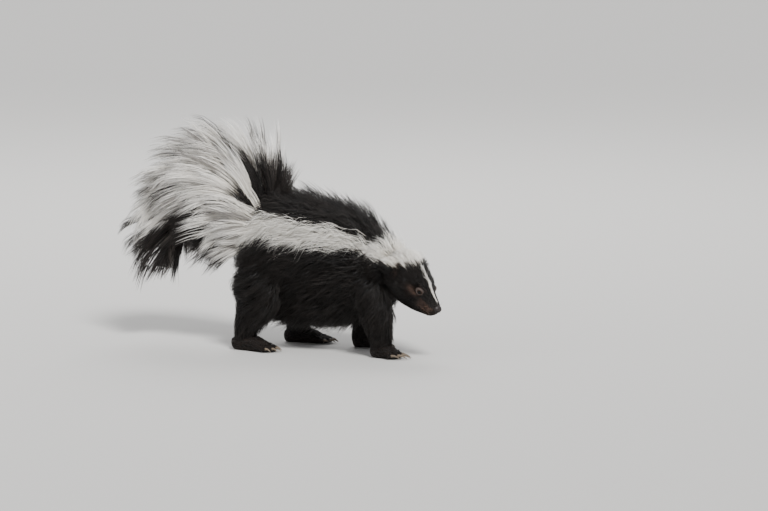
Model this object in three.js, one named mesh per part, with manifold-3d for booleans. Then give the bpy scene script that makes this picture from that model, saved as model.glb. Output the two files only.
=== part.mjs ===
// A striped skunk, life size, walking with its head low and its plumed tail arched over its back.
// Millimetres. +X is the way the body faces, +Y its left side, +Z up, and the soles lie on z = 0.
// The solids hold the skin with its coat, out to the tips of the long hair.
import * as THREE from "three";
import { mergeVertices } from "three/addons/utils/BufferGeometryUtils.js";
import Module from "manifold-3d";

const wasm = await Module();
wasm.setup();

// Driving sizes
const GAP = 0.3; // clear space between two touching pieces
const CENTRE_SHIFT = [-1.572, -0.003]; // brings the middle of the animal's box over the origin

const TRUNK_COAT = [10, 15, 9]; // height of the locks above the closed core: flank, back, belly
const RUMP_COAT = 14; // the same, behind the rump
const NECK_COAT = [9, 10, 9];
const ROOT_DEPTH = 4; // how far the root of a lock is sunk into its core
const LOCK_THICKNESS = 5; // at its root
const STIFFNESS = 0.12; // 0 for hair that hugs the body, 1 for hair that runs on straight
const TAIL_LOCK_WIDTH = 24;
const HEAD_YAW = -14; // degrees, the head turned to the animal's right
const HEAD_PITCH = 45; // degrees, the muzzle pointing down
const HEAD_BASE = [160, -18, 117]; // where the skull meets the neck

const EYE_RADIUS = 4.5;
const EYE_AT = [50, 13.6, 6.3]; // in the head's own frame, for the left side
const EAR_AT = [12, 25, 3];
const EAR_SIZE = [6, 9.5, 11.5]; // half thickness, half width, height above its root
const NOSE_AT = [77.3, 0, 2.2];
const NOSE_SIZE = [5.2, 6.2, 4.8];

const BLACK = 0x14110f;
const WHITE = 0xe9e2d6;
const BROWN = 0x2a1e19;
const PAD = 0x17120f;
const CLAW = 0x6b5a46;

const vec = (x, y, z) => new THREE.Vector3(x, y, z);
const rad = THREE.MathUtils.degToRad;
const lerp = THREE.MathUtils.lerp;

// Repeatable random numbers from 0 to 1
function random(seed) {
  let state = seed;
  return () => {
    state = (state + 0x6d2b79f5) | 0;
    let mixed = Math.imul(state ^ (state >>> 15), 1 | state);
    mixed = (mixed + Math.imul(mixed ^ (mixed >>> 7), 61 | mixed)) ^ mixed;
    return ((mixed ^ (mixed >>> 14)) >>> 0) / 4294967296;
  };
}

// A closed geometry as a solid that can be joined and cut
function solid(geometry) {
  const bare = geometry.clone();
  bare.deleteAttribute("normal");
  bare.deleteAttribute("uv");
  const merged = mergeVertices(bare, 1e-4);
  return new wasm.Manifold(
    new wasm.Mesh({
      numProp: 3,
      vertProperties: merged.attributes.position.array,
      triVerts: new Uint32Array(merged.index.array),
    }),
  );
}

const join = (solids) => wasm.Manifold.union(solids);

// The largest closed body of a solid, without the scraps that a cut leaves
function largest(cut) {
  return cut.decompose().sort((a, b) => b.volume() - a.volume())[0];
}

// A solid's mesh, named and coloured as one node
function node(name, made, colour, roughness = 0.85) {
  const { numProp, numVert, vertProperties, triVerts } = largest(made).getMesh();
  const places = new Float32Array(numVert * 3);
  for (let i = 0; i < numVert; i++) {
    places.set(vertProperties.subarray(i * numProp, i * numProp + 3), i * 3);
  }
  const geometry = new THREE.BufferGeometry();
  geometry.setAttribute("position", new THREE.BufferAttribute(places, 3));
  geometry.setIndex(new THREE.BufferAttribute(triVerts, 1));
  const material = new THREE.MeshStandardMaterial({ color: colour, roughness, metalness: 0 });
  const mesh = new THREE.Mesh(geometry, material);
  mesh.name = name;
  return mesh;
}

// A closed skin over a row of rings of points, drawn to one point at each end. Each ring runs
// the same way round: anticlockwise for an eye that looks along the row.
function wrapped(rings, start, end) {
  const sides = rings[0].length;
  const places = [...rings.flat(), start, end].flatMap((place) => place.toArray());
  const poles = [rings.length * sides, rings.length * sides + 1];
  const last = (rings.length - 1) * sides;
  const faces = [];
  for (let s = 0; s < sides; s++) {
    const next = (s + 1) % sides;
    for (let r = 0; r < last; r += sides) {
      faces.push(r + s, r + s + sides, r + next, r + next, r + s + sides, r + next + sides);
    }
    faces.push(poles[0], s, next, poles[1], last + next, last + s);
  }
  const geometry = new THREE.BufferGeometry();
  geometry.setAttribute("position", new THREE.BufferAttribute(new Float32Array(places), 3));
  geometry.setIndex(faces);
  return geometry;
}

// A body of oval sections strung along a smooth curve. Each station is
// [x, y, z, half width, height above the line, depth below it].
class Loft {
  constructor(stations, side = vec(0, 1, 0)) {
    this.side = side;
    const curve = (pick) => new THREE.CatmullRomCurve3(stations.map(pick), false, "catmullrom", 0.5);
    this.line = curve((s) => vec(s[0], s[1], s[2]));
    this.sizes = curve((s) => vec(s[3], s[4], s[5]));
  }

  // The section's centre, its three directions and its sizes at t, from 0 to 1
  section(t) {
    const centre = this.line.getPoint(t);
    const ahead = this.line.getPoint(Math.min(1, t + 1e-3));
    const along = ahead.sub(this.line.getPoint(Math.max(0, t - 1e-3))).normalize();
    const side = this.side.clone().addScaledVector(along, -this.side.dot(along)).normalize();
    const top = along.clone().cross(side);
    return { centre, along, side, top, size: this.sizes.getPoint(t) };
  }

  // A point of the surface. The angle runs from the top towards the side direction, in radians.
  point(t, angle, grow = 0) {
    const { centre, side, top, size } = this.section(t);
    const across = Math.sin(angle) * Math.max(0.05, size.x + grow);
    const rise = Math.cos(angle);
    const height = rise * Math.max(0.05, (rise > 0 ? size.y : size.z) + grow);
    return centre.addScaledVector(side, across).addScaledVector(top, height);
  }

  // The surface's outward direction, and the direction along the body
  lie(t, angle) {
    const along = this.point(Math.min(1, t + 0.01), angle).sub(this.point(Math.max(0, t - 0.01), angle));
    const round = this.point(t, angle + 0.02).sub(this.point(t, angle - 0.02));
    return { normal: along.clone().cross(round).normalize(), along: along.normalize() };
  }

  geometry(count, sides, grow = 0) {
    const rings = [];
    for (let r = 0; r < count; r++) {
      const ring = [];
      for (let s = 0; s < sides; s++) {
        ring.push(this.point(r / (count - 1), (s / sides) * 2 * Math.PI, grow));
      }
      rings.push(ring);
    }
    const start = this.section(0);
    const end = this.section(1);
    start.centre.addScaledVector(start.along, -grow);
    end.centre.addScaledVector(end.along, grow);
    return wrapped(rings, start.centre, end.centre);
  }

  solid(rings, sides, grow = 0) {
    return solid(this.geometry(rings, sides, grow));
  }
}

// A flat lock of hair: a closed blade that tapers along its path to a point. Its back is flat
// and its front, towards `face`, has a low ridge.
function lock(path, face, width, thickness) {
  const last = path.length - 1;
  const rings = path.slice(0, last).map((place, i) => {
    const along = path[i + 1].clone().sub(path[Math.max(0, i - 1)]).normalize();
    const left = face.clone().cross(along).normalize();
    const rise = along.clone().cross(left);
    const s = i / last;
    const half = (width / 2) * (0.55 + 1.9 * s - 2.4 * s * s);
    const thick = thickness * (1 - 0.6 * s);
    return [
      place.clone().addScaledVector(rise, thick / 2),
      place.clone().addScaledVector(left, half).addScaledVector(rise, -thick / 2),
      place.clone().addScaledVector(left, -half).addScaledVector(rise, -thick / 2),
    ];
  });
  return solid(wrapped(rings, path[0], path[last]));
}

// Locks all over a core. They lie back along the body and down its sides, and rise above the
// core to the height that `coat` gives for an angle round it. `from` and `to` are shares of length.
function bodyLocks(loft, { from, to, rows, around, length, width, coat, seed }) {
  const chance = random(seed);
  const vary = (share) => 1 + share * (2 * chance() - 1);
  const whole = loft.line.getLength();
  const locks = [];
  for (let row = 0; row < rows; row++) {
    for (let n = 0; n < around; n++) {
      const turn = (n + 0.5 * (row % 2) + 0.4 * (chance() - 0.5)) / around;
      const angle = turn * 2 * Math.PI;
      const front = to - 0.1 * Math.max(0, Math.cos(angle));
      const start = lerp(from, front, (row + 0.4 * (chance() - 0.5)) / (rows - 1));
      const rise = (coat(angle) + ROOT_DEPTH) * vary(0.12);
      const reach = length * vary(0.15);
      const at = (s) => {
        const share = start - (reach * s) / whole;
        const t = loft.line.getUtoTmapping(THREE.MathUtils.clamp(share, 0.01, 0.99));
        const round = angle + 0.5 * Math.sin(angle) * ((reach * s) / 80);
        const { normal, along } = loft.lie(t, round);
        const place = loft.point(t, round).addScaledVector(along, Math.min(0, share - 0.01) * whole);
        return { place, normal };
      };
      const first = at(0);
      const onward = at(0.05).place.sub(first.place).multiplyScalar(20);
      const path = [0, 0.3, 0.65, 1].map((s) => {
        const { place, normal } = at(s);
        const straight = first.place.clone().addScaledVector(onward, s);
        const height = rise * (1 - (1 - s) ** 1.9) - ROOT_DEPTH;
        return place.lerp(straight, STIFFNESS * s).addScaledVector(normal, height);
      });
      locks.push(lock(path, first.normal, width * vary(0.15), LOCK_THICKNESS));
    }
  }
  return locks;
}

// An ellipsoid of three half sizes, placed and turned by a matrix
function egg(sizes, matrix, across = 12, down = 8) {
  const geometry = new THREE.SphereGeometry(1, across, down);
  geometry.scale(...sizes).applyMatrix4(matrix);
  return solid(geometry);
}

const placed = (x, y, z) => new THREE.Matrix4().makeTranslation(x, y, z);

// The trunk out to the tips of its hair, rump to chest
const TRUNK = [
  [-61, 0, 120, 20, 24, 22],
  [-50, 0, 119, 41, 52, 48],
  [-32, 0, 117, 53, 73, 68],
  [-8, 0, 116, 59, 84, 77],
  [20, 0, 115, 60, 85, 80],
  [48, 0, 113, 58, 82, 78],
  [75, 0, 110, 55, 78, 75],
  [100, 0, 106, 51, 73, 69],
  [121, 0, 100, 46, 59, 60],
  [138, -4, 92, 38, 38, 50],
  [150, -8, 85, 30, 27, 40],
  [159, -11, 78, 15, 14, 23],
];

// The neck, from inside the shoulders to the back of the skull
const NECK = [
  [104, 0, 112, 42, 56, 42],
  [129, -5, 111, 38, 44, 43],
  [146, -12, 109, 35, 35, 40],
  [161, -17, 106, 31, 29, 33],
];

// The core under a coat: the same stations, each drawn in by the height of the locks
const under = (stations, [flank, back, belly]) =>
  stations.map(([x, y, z, w, up, down]) => [
    x,
    y,
    z,
    Math.max(6, w - flank),
    Math.max(6, up - back),
    Math.max(6, down - belly),
  ]);
const trunkCore = under(TRUNK, TRUNK_COAT);
trunkCore[0][0] += RUMP_COAT;
trunkCore[1][0] += RUMP_COAT * 0.6;
const trunk = new Loft(trunkCore);
const neck = new Loft(under(NECK, NECK_COAT));

// The tail's bone with its skin and the thick foot of its hair, from the rump up, over and down
const tailCore = new Loft(
  [
    [-38, 0, 138, 27, 22, 22],
    [-46, 0, 163, 27, 22, 22],
    [-57, 1, 192, 26, 22, 20],
    [-80, 2, 210, 25, 24, 20],
    [-108, 3, 202, 24, 23, 22],
    [-131, 3, 179, 21, 21, 22],
    [-148, 2, 147, 17, 17, 18],
    [-157, 1, 121, 10, 10, 10],
  ],
  vec(0, -1, 0),
);

// How the tail's hair lies, at even steps along the bone: degrees above straight back at its root
// and at its tip, on the outer side, on the flanks and on the inner side, and the outer hair's length
const FAN = [
  [132, 112, 0, -40, -15, -48, 70],
  [112, 84, 24, -36, -18, -48, 96],
  [92, 24, 40, -28, -25, -52, 98],
  [58, -24, 14, -40, -32, -56, 76],
  [28, -38, -10, -46, -42, -62, 70],
  [0, -48, -30, -52, -50, -66, 66],
  [-22, -54, -42, -58, -52, -70, 60],
  [-36, -60, -46, -62, -54, -72, 54],
];
const fanCurve = (pick) => new THREE.CatmullRomCurve3(FAN.map(pick));
const fanRoots = fanCurve((row) => vec(row[0], row[2], row[4]));
const fanTips = fanCurve((row) => vec(row[1], row[3], row[5]));
const fanLengths = fanCurve((row) => vec(row[6], 0, 0));

// The long hair of the tail. Each lock turns evenly from its way at the root to that at its tip.
function tailLocks(rows, around, seed) {
  const chance = random(seed);
  const vary = (share) => 1 + share * (2 * chance() - 1);
  const locks = [];
  for (let row = 0; row < rows; row++) {
    for (let n = 0; n < around; n++) {
      const angle = ((n + 0.5 * (row % 2) + 0.2 * (vary(1) - 1)) / around) * 2 * Math.PI;
      const outer = Math.cos(angle);
      const lowest = lerp(0.07, 0.11, Math.max(0, outer));
      const t = lerp(lowest, 0.97, (row + 0.25 * (chance() - 0.5)) / (rows - 0.75));
      const { normal } = tailCore.lie(t, angle);
      const flank = Math.sin(angle);
      const pick = (fan) => lerp(fan.y, outer > 0 ? fan.x : fan.z, Math.abs(outer) ** 1.3);
      const [rootPitch, tipPitch] = [pick(fanRoots.getPoint(t)), pick(fanTips.getPoint(t))];
      const swing = 9 * (vary(1) - 1);
      const length = fanLengths.getPoint(t).x * (outer < 0 ? 1 + 0.2 * outer : 1) * vary(0.1);
      const place = tailCore.point(t, angle).addScaledVector(normal, -ROOT_DEPTH);
      const path = [place.clone()];
      for (const s of [0.25, 0.5, 0.75, 1]) {
        const pitch = rad(lerp(rootPitch, tipPitch, s - 0.125) + swing);
        place.add(vec(-Math.cos(pitch), 0, Math.sin(pitch)).multiplyScalar(length / 4));
        const out = length * 0.2 * (2 * s - s * s) * Math.abs(flank) + 7 * s;
        path.push(place.clone().addScaledVector(normal, out));
      }
      locks.push(lock(path, normal, TAIL_LOCK_WIDTH * vary(0.2), LOCK_THICKNESS));
    }
  }
  return locks;
}

// The head in its own frame: x runs from the nape to the nose, y to the left and z to the crown
const headFrame = new THREE.Matrix4()
  .makeTranslation(...HEAD_BASE)
  .multiply(new THREE.Matrix4().makeRotationZ(rad(HEAD_YAW)))
  .multiply(new THREE.Matrix4().makeRotationY(rad(HEAD_PITCH)));

const skull = new Loft([
  [-9, 0, -2, 21, 19, 20],
  [1, 0, -1, 27.5, 25.5, 27],
  [14, 0, -1, 29.5, 26, 30],
  [28, 0, -1.5, 28.5, 24, 30],
  [40, 0, -1.5, 23.5, 21.5, 27],
  [50, 0, -2, 18, 18.5, 22.5],
  [58, 0, -2, 14.5, 15, 18.5],
  [66, 0, -2, 12, 12.6, 14.5],
  [73, 0, -2, 10.2, 10.6, 11],
  [78, 0, -2, 8, 7.8, 7.8],
  [80.5, 0, -2, 3.6, 3.6, 3.6],
]);

// A copy of a shape in the head's frame, mirrored to the side asked for: 1 is left, -1 is right
const onHead = (x, y, z, side = 1) => headFrame.clone().multiply(placed(x, y * side, z));

// The ball of an eye
const eyeBall = (side, grow = 0) =>
  egg(Array(3).fill(EYE_RADIUS + grow), onHead(...EYE_AT, side), 12, 8);

// The raised rims round an eye
function lids(side) {
  const ring = new THREE.TorusGeometry(EYE_RADIUS + 0.35, 1.25, 5, 12);
  ring.scale(1.12, 0.95, 1);
  ring.applyMatrix4(new THREE.Matrix4().makeRotationY(rad(90)));
  ring.applyMatrix4(new THREE.Matrix4().makeRotationZ(rad(62 * side)));
  ring.applyMatrix4(onHead(EYE_AT[0] + 0.7, EYE_AT[1] + 1.3, EYE_AT[2] + 0.2, side));
  return solid(ring);
}

// The line of the mouth on one side, as a thin bent rod: a groove when cut, a lip when joined
function mouthRod(side, lift, radius) {
  const stations = [
    [82, 0, -5.6],
    [77, 5.8, -6.2],
    [70, 9.4, -7.4],
    [62, 11.9, -8.6],
    [55, 14.6, -8.2],
  ].map(([x, y, z]) => [x, y * side, z + lift, radius, radius, radius]);
  return new Loft(stations, vec(0, 0, 1)).solid(8, 6).transform(headFrame.toArray());
}

function head() {
  const whiskerPads = [1, -1].map((side) => egg([8.5, 5.2, 5.4], onHead(69, 6.2, -1.5, side), 10, 7));
  const chin = egg([9, 6.2, 5], onHead(70, 0, -9.6), 10, 7);
  const lips = [1, -1].map((side) => mouthRod(side, 1.5, 1.5));
  const flesh = join([
    skull.solid(17, 18).transform(headFrame.toArray()),
    chin,
    ...whiskerPads,
    ...lips,
    ...[1, -1].map(lids),
  ]);
  const grooves = [1, -1].map((side) => mouthRod(side, -0.4, 0.95));
  const sockets = [1, -1].map((side) => eyeBall(side, GAP));
  return flesh.subtract(join([...grooves, ...sockets, nosePad(GAP)]));
}

// The bare pad of the nose, with its two nostrils
function nosePad(grow = 0) {
  const pad = egg(
    NOSE_SIZE.map((half) => half + grow),
    onHead(...NOSE_AT),
    12,
    9,
  );
  if (grow) return pad;
  const nostrils = [1, -1].map((side) => egg([3, 1.25, 1.7], onHead(83.4, 3.1, 1.5, side), 8, 6));
  return pad.subtract(join(nostrils));
}

// A small round ear, hollowed to a cup that opens forwards and outwards
function ear(side) {
  const [thick, wide, high] = EAR_SIZE;
  const turn = new THREE.Matrix4().makeRotationZ(rad(-38 * side));
  const lean = new THREE.Matrix4().makeRotationX(rad(-34 * side));
  const frame = onHead(...EAR_AT, side).multiply(lean).multiply(turn);
  const shell = egg([thick, wide, high], frame, 14, 8);
  const cup = egg([thick, wide - 2.6, high - 2.6], frame.clone().multiply(placed(4.2, 0, 0.6)), 12, 7);
  return shell.subtract(cup);
}

// Legs. Each station is [x, y, z, half width, reach ahead, reach behind].
const LEGS = {
  foreleg_right: [
    [122, -27, 100, 19, 27, 26],
    [128, -37, 77, 18, 28, 24],
    [135, -38, 53, 15.5, 27, 20],
    [141, -36, 31, 12.5, 17, 14.5],
    [141, -34, 13, 11.5, 12.5, 12],
  ],
  foreleg_left: [
    [112, 27, 100, 19, 26, 26],
    [106, 37, 77, 18, 24, 23],
    [98, 38, 53, 14.5, 19, 18],
    [89, 36, 31, 12, 14, 13.5],
    [87, 34, 13, 11.5, 12, 12],
  ],
  hindleg_right: [
    [-20, -28, 112, 21, 36, 34],
    [-17, -42, 88, 21, 36, 37],
    [-19, -46, 61, 18, 31, 34],
    [-34, -42, 34, 13.5, 17, 18],
    [-42, -39, 13, 11.5, 12, 12],
  ],
  hindleg_left: [
    [-14, 28, 112, 21, 36, 34],
    [-4, 42, 88, 21, 36, 36],
    [8, 46, 61, 18, 30, 32],
    [2, 42, 34, 13.5, 17, 18],
    [-5, 39, 13, 11.5, 12, 12],
  ],
};
const ANKLE_HEIGHT = 21; // where a leg ends and its paw begins

// Paws: the sole's middle, the pad's half length and width, and the length of the claws
const PAWS = {
  forepaw_right: { heel: [131, -34], length: 34, width: 12.5, claw: 12, turn: -6 },
  forepaw_left: { heel: [79, 34], length: 34, width: 12.5, claw: 12, turn: 5 },
  hindpaw_right: { heel: [-53, -39], length: 54, width: 12.5, claw: 7, turn: -8 },
  hindpaw_left: { heel: [-16, 39], length: 54, width: 12.5, claw: 7, turn: 7 },
};
const TOES = 5;
const TOE_SPREAD = 5; // between the middle lines of two toes
const TOE_RADIUS = 2.9;
const TOE_END_HEIGHT = 4.4; // the middle of a claw's root above the floor
const CLAW_RADIUS = 1.8;

// The frame of one paw: x ahead from the heel, z up from the floor
const pawFrame = ({ heel, turn }) =>
  placed(heel[0], heel[1], 0).multiply(new THREE.Matrix4().makeRotationZ(rad(turn)));

// Where a toe ends, in the paw's frame. The middle toes reach furthest.
function toeTip(paw, toe) {
  const off = toe - (TOES - 1) / 2;
  return vec(paw.length + 6 - 2.1 * off * off, off * TOE_SPREAD * 1.15, TOE_END_HEIGHT);
}

function limb(name, pawName) {
  const paw = PAWS[pawName];
  const frame = pawFrame(paw).toArray();
  const [l, w] = [paw.length, paw.width];
  const body = new Loft([
    [-4, 0, 7, 5, 5, 7],
    [3, 0, 8, 10, 9, 10],
    [l * 0.4, 0, 9, w - 1, 11, 11],
    [l * 0.7, 0, 7, w - 0.5, 8.5, 9],
    [l * 0.85, 0, 5, w - 3, 5, 7],
  ]).solid(6, 10);
  const toes = [];
  for (let toe = 0; toe < TOES; toe++) {
    const tip = toeTip(paw, toe);
    const r = TOE_RADIUS;
    toes.push(
      new Loft([
        [l * 0.6, tip.y * 0.8, 6.5, r, r, r],
        [lerp(l * 0.6, tip.x, 0.55), tip.y * 0.95, 6.8, r, r, r + 2],
        [tip.x - 3.5, tip.y, 4.8, r, r, r + 2],
        [tip.x, tip.y, TOE_END_HEIGHT, CLAW_RADIUS + 0.4, CLAW_RADIUS + 0.5, CLAW_RADIUS + 0.5],
      ]).solid(4, 6),
    );
  }
  const foot = join([body, ...toes]).transform(frame);
  const whole = join([new Loft(LEGS[name]).solid(8, 13), foot]);
  const standing = whole.trimByPlane([0, 0, 1], 0);
  return {
    leg: standing.trimByPlane([0, 0, 1], ANKLE_HEIGHT + GAP / 2),
    paw: standing.trimByPlane([0, 0, -1], -(ANKLE_HEIGHT - GAP / 2)),
  };
}

// One claw: a curved cone that starts a gap ahead of its toe
function claw(paw, toe) {
  const tip = toeTip(paw, toe);
  const stations = [0, 0.35, 0.7, 1].map((s) => {
    const radius = lerp(CLAW_RADIUS, 0.3, s ** 1.3);
    const ahead = GAP + paw.claw * s;
    return [tip.x + ahead, tip.y, TOE_END_HEIGHT - 2.6 * s * s, radius * 0.75, radius, radius];
  });
  return new Loft(stations).solid(4, 5).transform(pawFrame(paw).toArray());
}

// The plane between the neck and the trunk, and the one between the tail and the rump
const NECK_PLANE = { normal: vec(0.925, 0, 0.379).normalize(), at: vec(118, 0, 158) };
const TAIL_PLANE = { normal: vec(-0.72, 0, 0.69).normalize(), at: vec(-18, 0, 190) };

// The two sides of a solid about a plane, a gap apart: [ahead of the normal, behind it]
function parted(whole, { normal, at }) {
  const offset = normal.dot(at);
  return [
    whole.trimByPlane(normal.toArray(), offset + GAP / 2),
    whole.trimByPlane(normal.clone().negate().toArray(), GAP / 2 - offset),
  ];
}

const object = new THREE.Group();
object.position.set(...CENTRE_SHIFT, 0);

const legSeams = join(Object.values(LEGS).map((stations) => new Loft(stations).solid(8, 13, GAP)));
const headSeam = skull.solid(17, 18, GAP).transform(headFrame.toArray());
const bodySeam = join([trunk.solid(15, 16, GAP), neck.solid(5, 14, GAP)]);
const headPart = head();

// How high the trunk's locks stand at an angle round it, 0 being the back
function trunkCoat(angle) {
  const rise = Math.cos(angle);
  return lerp(TRUNK_COAT[0], rise > 0 ? TRUNK_COAT[1] : TRUNK_COAT[2], Math.abs(rise));
}
const hair = join([
  ...bodyLocks(trunk, {
    from: 0.12,
    to: 0.95,
    rows: 6,
    around: 8,
    length: 52,
    width: 40,
    coat: trunkCoat,
    seed: 7,
  }),
  ...bodyLocks(neck, {
    from: 0.55,
    to: 0.95,
    rows: 2,
    around: 6,
    length: 30,
    width: 30,
    coat: () => NECK_COAT[1],
    seed: 11,
  }),
  ...tailLocks(8, 8, 5),
]).subtract(legSeams);
const coat = join([trunk.solid(15, 16), neck.solid(5, 14), tailCore.solid(12, 10), hair]);
const [tailPart, front] = parted(coat, TAIL_PLANE);
const [neckPart, trunkPart] = parted(front, NECK_PLANE);

object.add(
  node("torso", trunkPart.subtract(headSeam).subtract(headPart), BLACK),
  node("neck", neckPart.subtract(headSeam).subtract(headPart), WHITE),
  node("tail", tailPart, WHITE),
  node("head", headPart, BLACK),
  node("nose", nosePad(), PAD, 0.4),
);
for (const [name, side] of [
  ["left", 1],
  ["right", -1],
]) {
  object.add(node("ear_" + name, ear(side).subtract(headSeam), BROWN));
  object.add(node("eye_" + name, eyeBall(side), PAD, 0.1));
}
for (const legName of Object.keys(LEGS)) {
  const pawName = legName.replace("leg", "paw");
  const { leg, paw } = limb(legName, pawName);
  object.add(node(legName, leg.subtract(bodySeam).subtract(headSeam), BLACK));
  object.add(node(pawName, paw, BLACK));
  for (let toe = 0; toe < TOES; toe++) {
    object.add(node(`claw_${pawName}_${toe + 1}`, claw(PAWS[pawName], toe), CLAW, 0.5));
  }
}

export default object;
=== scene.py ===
# %% [markdown]
# # A striped skunk with a coat of real mesh hair
# A museum model of a skunk is one skin over a body, with eyes, nose and claws set in it, and a coat
# that hides most of the skin. This lesson builds it in that order: forms, skin, coat, finishes.
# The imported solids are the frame. They say where each part is, and how far the hair reaches.

# %% Load the frame
import math

import bmesh
import bpy
import numpy as np
from mathutils import Matrix, Vector
from mathutils.bvhtree import BVHTree
from mathutils.kdtree import KDTree


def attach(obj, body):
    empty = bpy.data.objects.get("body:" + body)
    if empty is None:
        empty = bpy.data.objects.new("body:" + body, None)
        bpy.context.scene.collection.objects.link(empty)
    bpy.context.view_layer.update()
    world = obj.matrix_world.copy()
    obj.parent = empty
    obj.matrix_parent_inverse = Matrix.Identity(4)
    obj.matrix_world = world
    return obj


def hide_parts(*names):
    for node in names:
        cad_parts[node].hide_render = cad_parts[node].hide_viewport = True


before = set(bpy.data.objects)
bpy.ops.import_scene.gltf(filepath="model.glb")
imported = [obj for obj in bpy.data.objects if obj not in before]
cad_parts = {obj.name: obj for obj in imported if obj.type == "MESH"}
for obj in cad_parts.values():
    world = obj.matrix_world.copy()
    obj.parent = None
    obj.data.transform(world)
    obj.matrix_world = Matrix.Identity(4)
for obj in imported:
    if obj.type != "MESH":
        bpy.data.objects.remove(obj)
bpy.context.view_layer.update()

# %% [markdown]
# ## Camera, floor and light
# The photo looks at the skunk's right side from a little in front and above. A long lens from far
# away keeps the same flat perspective. The lens is worked out from the width that the frame shows.

# %% Camera
FRAME_WIDTH = 0.960
CAMERA_DISTANCE = 6.0
AZIMUTH, ELEVATION = math.radians(22), math.radians(8)
LOOKED_AT = Vector((0.10544, 0.0607, 0.1124))

camera_data = bpy.data.cameras.new("camera")
camera_data.sensor_width = 36.0
camera_data.lens = camera_data.sensor_width * CAMERA_DISTANCE / FRAME_WIDTH
camera_data.clip_start, camera_data.clip_end = 0.1, 60.0
camera = bpy.data.objects.new("camera", camera_data)
bpy.context.scene.collection.objects.link(camera)
to_camera = Vector(
    (math.sin(AZIMUTH) * math.cos(ELEVATION), -math.cos(AZIMUTH) * math.cos(ELEVATION), math.sin(ELEVATION))
)
camera.location = LOOKED_AT + to_camera * CAMERA_DISTANCE
camera.rotation_euler = to_camera.to_track_quat("Z", "Y").to_euler()
bpy.context.scene.camera = camera
print("lens (mm):", round(camera_data.lens, 1))


# %% A helper for meshes
def mesh_object(name, points, faces, materials=()):
    """A smooth-shaded mesh object from arrays of points and faces, in metres."""
    mesh = bpy.data.meshes.new(name)
    points = np.asarray(points, np.float32)
    faces = np.asarray(faces, np.int32)
    sides = faces.shape[1]
    mesh.vertices.add(len(points))
    mesh.vertices.foreach_set("co", points.ravel())
    mesh.loops.add(faces.size)
    mesh.loops.foreach_set("vertex_index", faces.ravel())
    mesh.polygons.add(len(faces))
    mesh.polygons.foreach_set("loop_start", np.arange(0, faces.size, sides, dtype=np.int32))
    mesh.polygons.foreach_set("use_smooth", np.ones(len(faces), bool))
    mesh.update(calc_edges=True)
    for material in materials:
        mesh.materials.append(material)
    made = bpy.data.objects.new(name, mesh)
    bpy.context.scene.collection.objects.link(made)
    return made


# %% Floor and lights
floor = mesh_object("floor", [(-9, -9, 0), (9, -9, 0), (9, 9, 0), (-9, 9, 0)], [(0, 1, 2, 3)])
floor.location.z = -0.0004


def lamp(name, kind, direction, energy, distance=2.2):
    """A lamp that shines at the animal from a direction."""
    data = bpy.data.lights.new(name, kind)
    data.energy = energy
    light = bpy.data.objects.new(name, data)
    bpy.context.scene.collection.objects.link(light)
    way = Vector(direction).normalized()
    light.location = Vector((0, 0, 0.12)) + way * distance
    light.rotation_euler = way.to_track_quat("Z", "Y").to_euler()
    return data


lamp("key", "SUN", (0.70, -0.80, 1.15), 4.7).angle = math.radians(16)
lamp("rim", "AREA", (-0.4, 1.0, 1.1), 30).size = 1.4
lamp("fill", "AREA", (-1.0, -0.9, 0.5), 10).size = 1.8
world = bpy.data.worlds.new("studio")
bpy.context.scene.world = world
world.use_nodes = True
sky = world.node_tree.nodes["Background"].inputs
sky["Color"].default_value = (0.95, 0.96, 1.0, 1)
sky["Strength"].default_value = 0.62

# %% [markdown]
# ## Forms: oval sections on a smooth curve
# A body, a leg or a tail is a row of ovals along a line. The line and the sizes run through their
# stations as a smooth curve, so a few numbers describe a long soft shape. The same form gives the
# skin, the place of each hair's root, and the way that the hair lies, so coat and skin always agree.
# The stations are in millimetres and reach out to the tips of the coat, as the solids do.

# %% The form helper
MM = 0.001
CENTRE_SHIFT = np.array([-1.572, -0.003, 0.0])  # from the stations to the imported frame


def smooth_row(stations, t):
    """The stations' values at t, from 0 to 1, on a smooth curve through them."""
    stations = np.asarray(stations, float)
    last = len(stations) - 1
    before = 2 * stations[0] - stations[1]
    after = 2 * stations[-1] - stations[-2]
    row = np.vstack([before, stations, after])
    place = np.clip(t, 0, 1) * last
    k = np.minimum(place.astype(int), last - 1)
    w = (place - k)[:, None]
    p0, p1, p2, p3 = row[k], row[k + 1], row[k + 2], row[k + 3]
    m1, m2 = 0.5 * (p2 - p0), 0.5 * (p3 - p1)
    return p1 + m1 * w + (3 * (p2 - p1) - 2 * m1 - m2) * w**2 + (2 * (p1 - p2) + m1 + m2) * w**3


def unit(v):
    """Vectors made one long."""
    return v / np.maximum(np.linalg.norm(v, axis=-1, keepdims=True), 1e-9)


def smoothstep(low, high, value):
    """A soft step from 0 to 1 between two values. With low above high it falls."""
    x = np.clip((value - low) / (high - low), 0, 1)
    return x * x * (3 - 2 * x)


def moved(points, matrix):
    """Points taken through a placing matrix."""
    return points @ matrix[:3, :3].T + matrix[:3, 3]


def in_frame(points):
    """From the stations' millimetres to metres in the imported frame."""
    return (points + CENTRE_SHIFT) * MM


def closed_grid(rings, sides):
    """Triangles over rings of points, closed by two end points that come last."""
    faces = []
    for r in range(rings - 1):
        for s in range(sides):
            n = (s + 1) % sides
            a, b, c, d = r * sides + s, (r + 1) * sides + s, (r + 1) * sides + n, r * sides + n
            faces += [(a, b, d), (d, b, c)]
    for s in range(sides):
        n = (s + 1) % sides
        base = (rings - 1) * sides
        faces += [(rings * sides, s, n), (rings * sides + 1, base + n, base + s)]
    return faces


def merged(parts):
    """Several pairs of points and faces as one pair."""
    offsets = np.cumsum([0] + [len(points) for points, _ in parts[:-1]])
    faces = [np.array(faces) + offset for (_, faces), offset in zip(parts, offsets)]
    return np.vstack([points for points, _ in parts]), np.vstack(faces)


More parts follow.
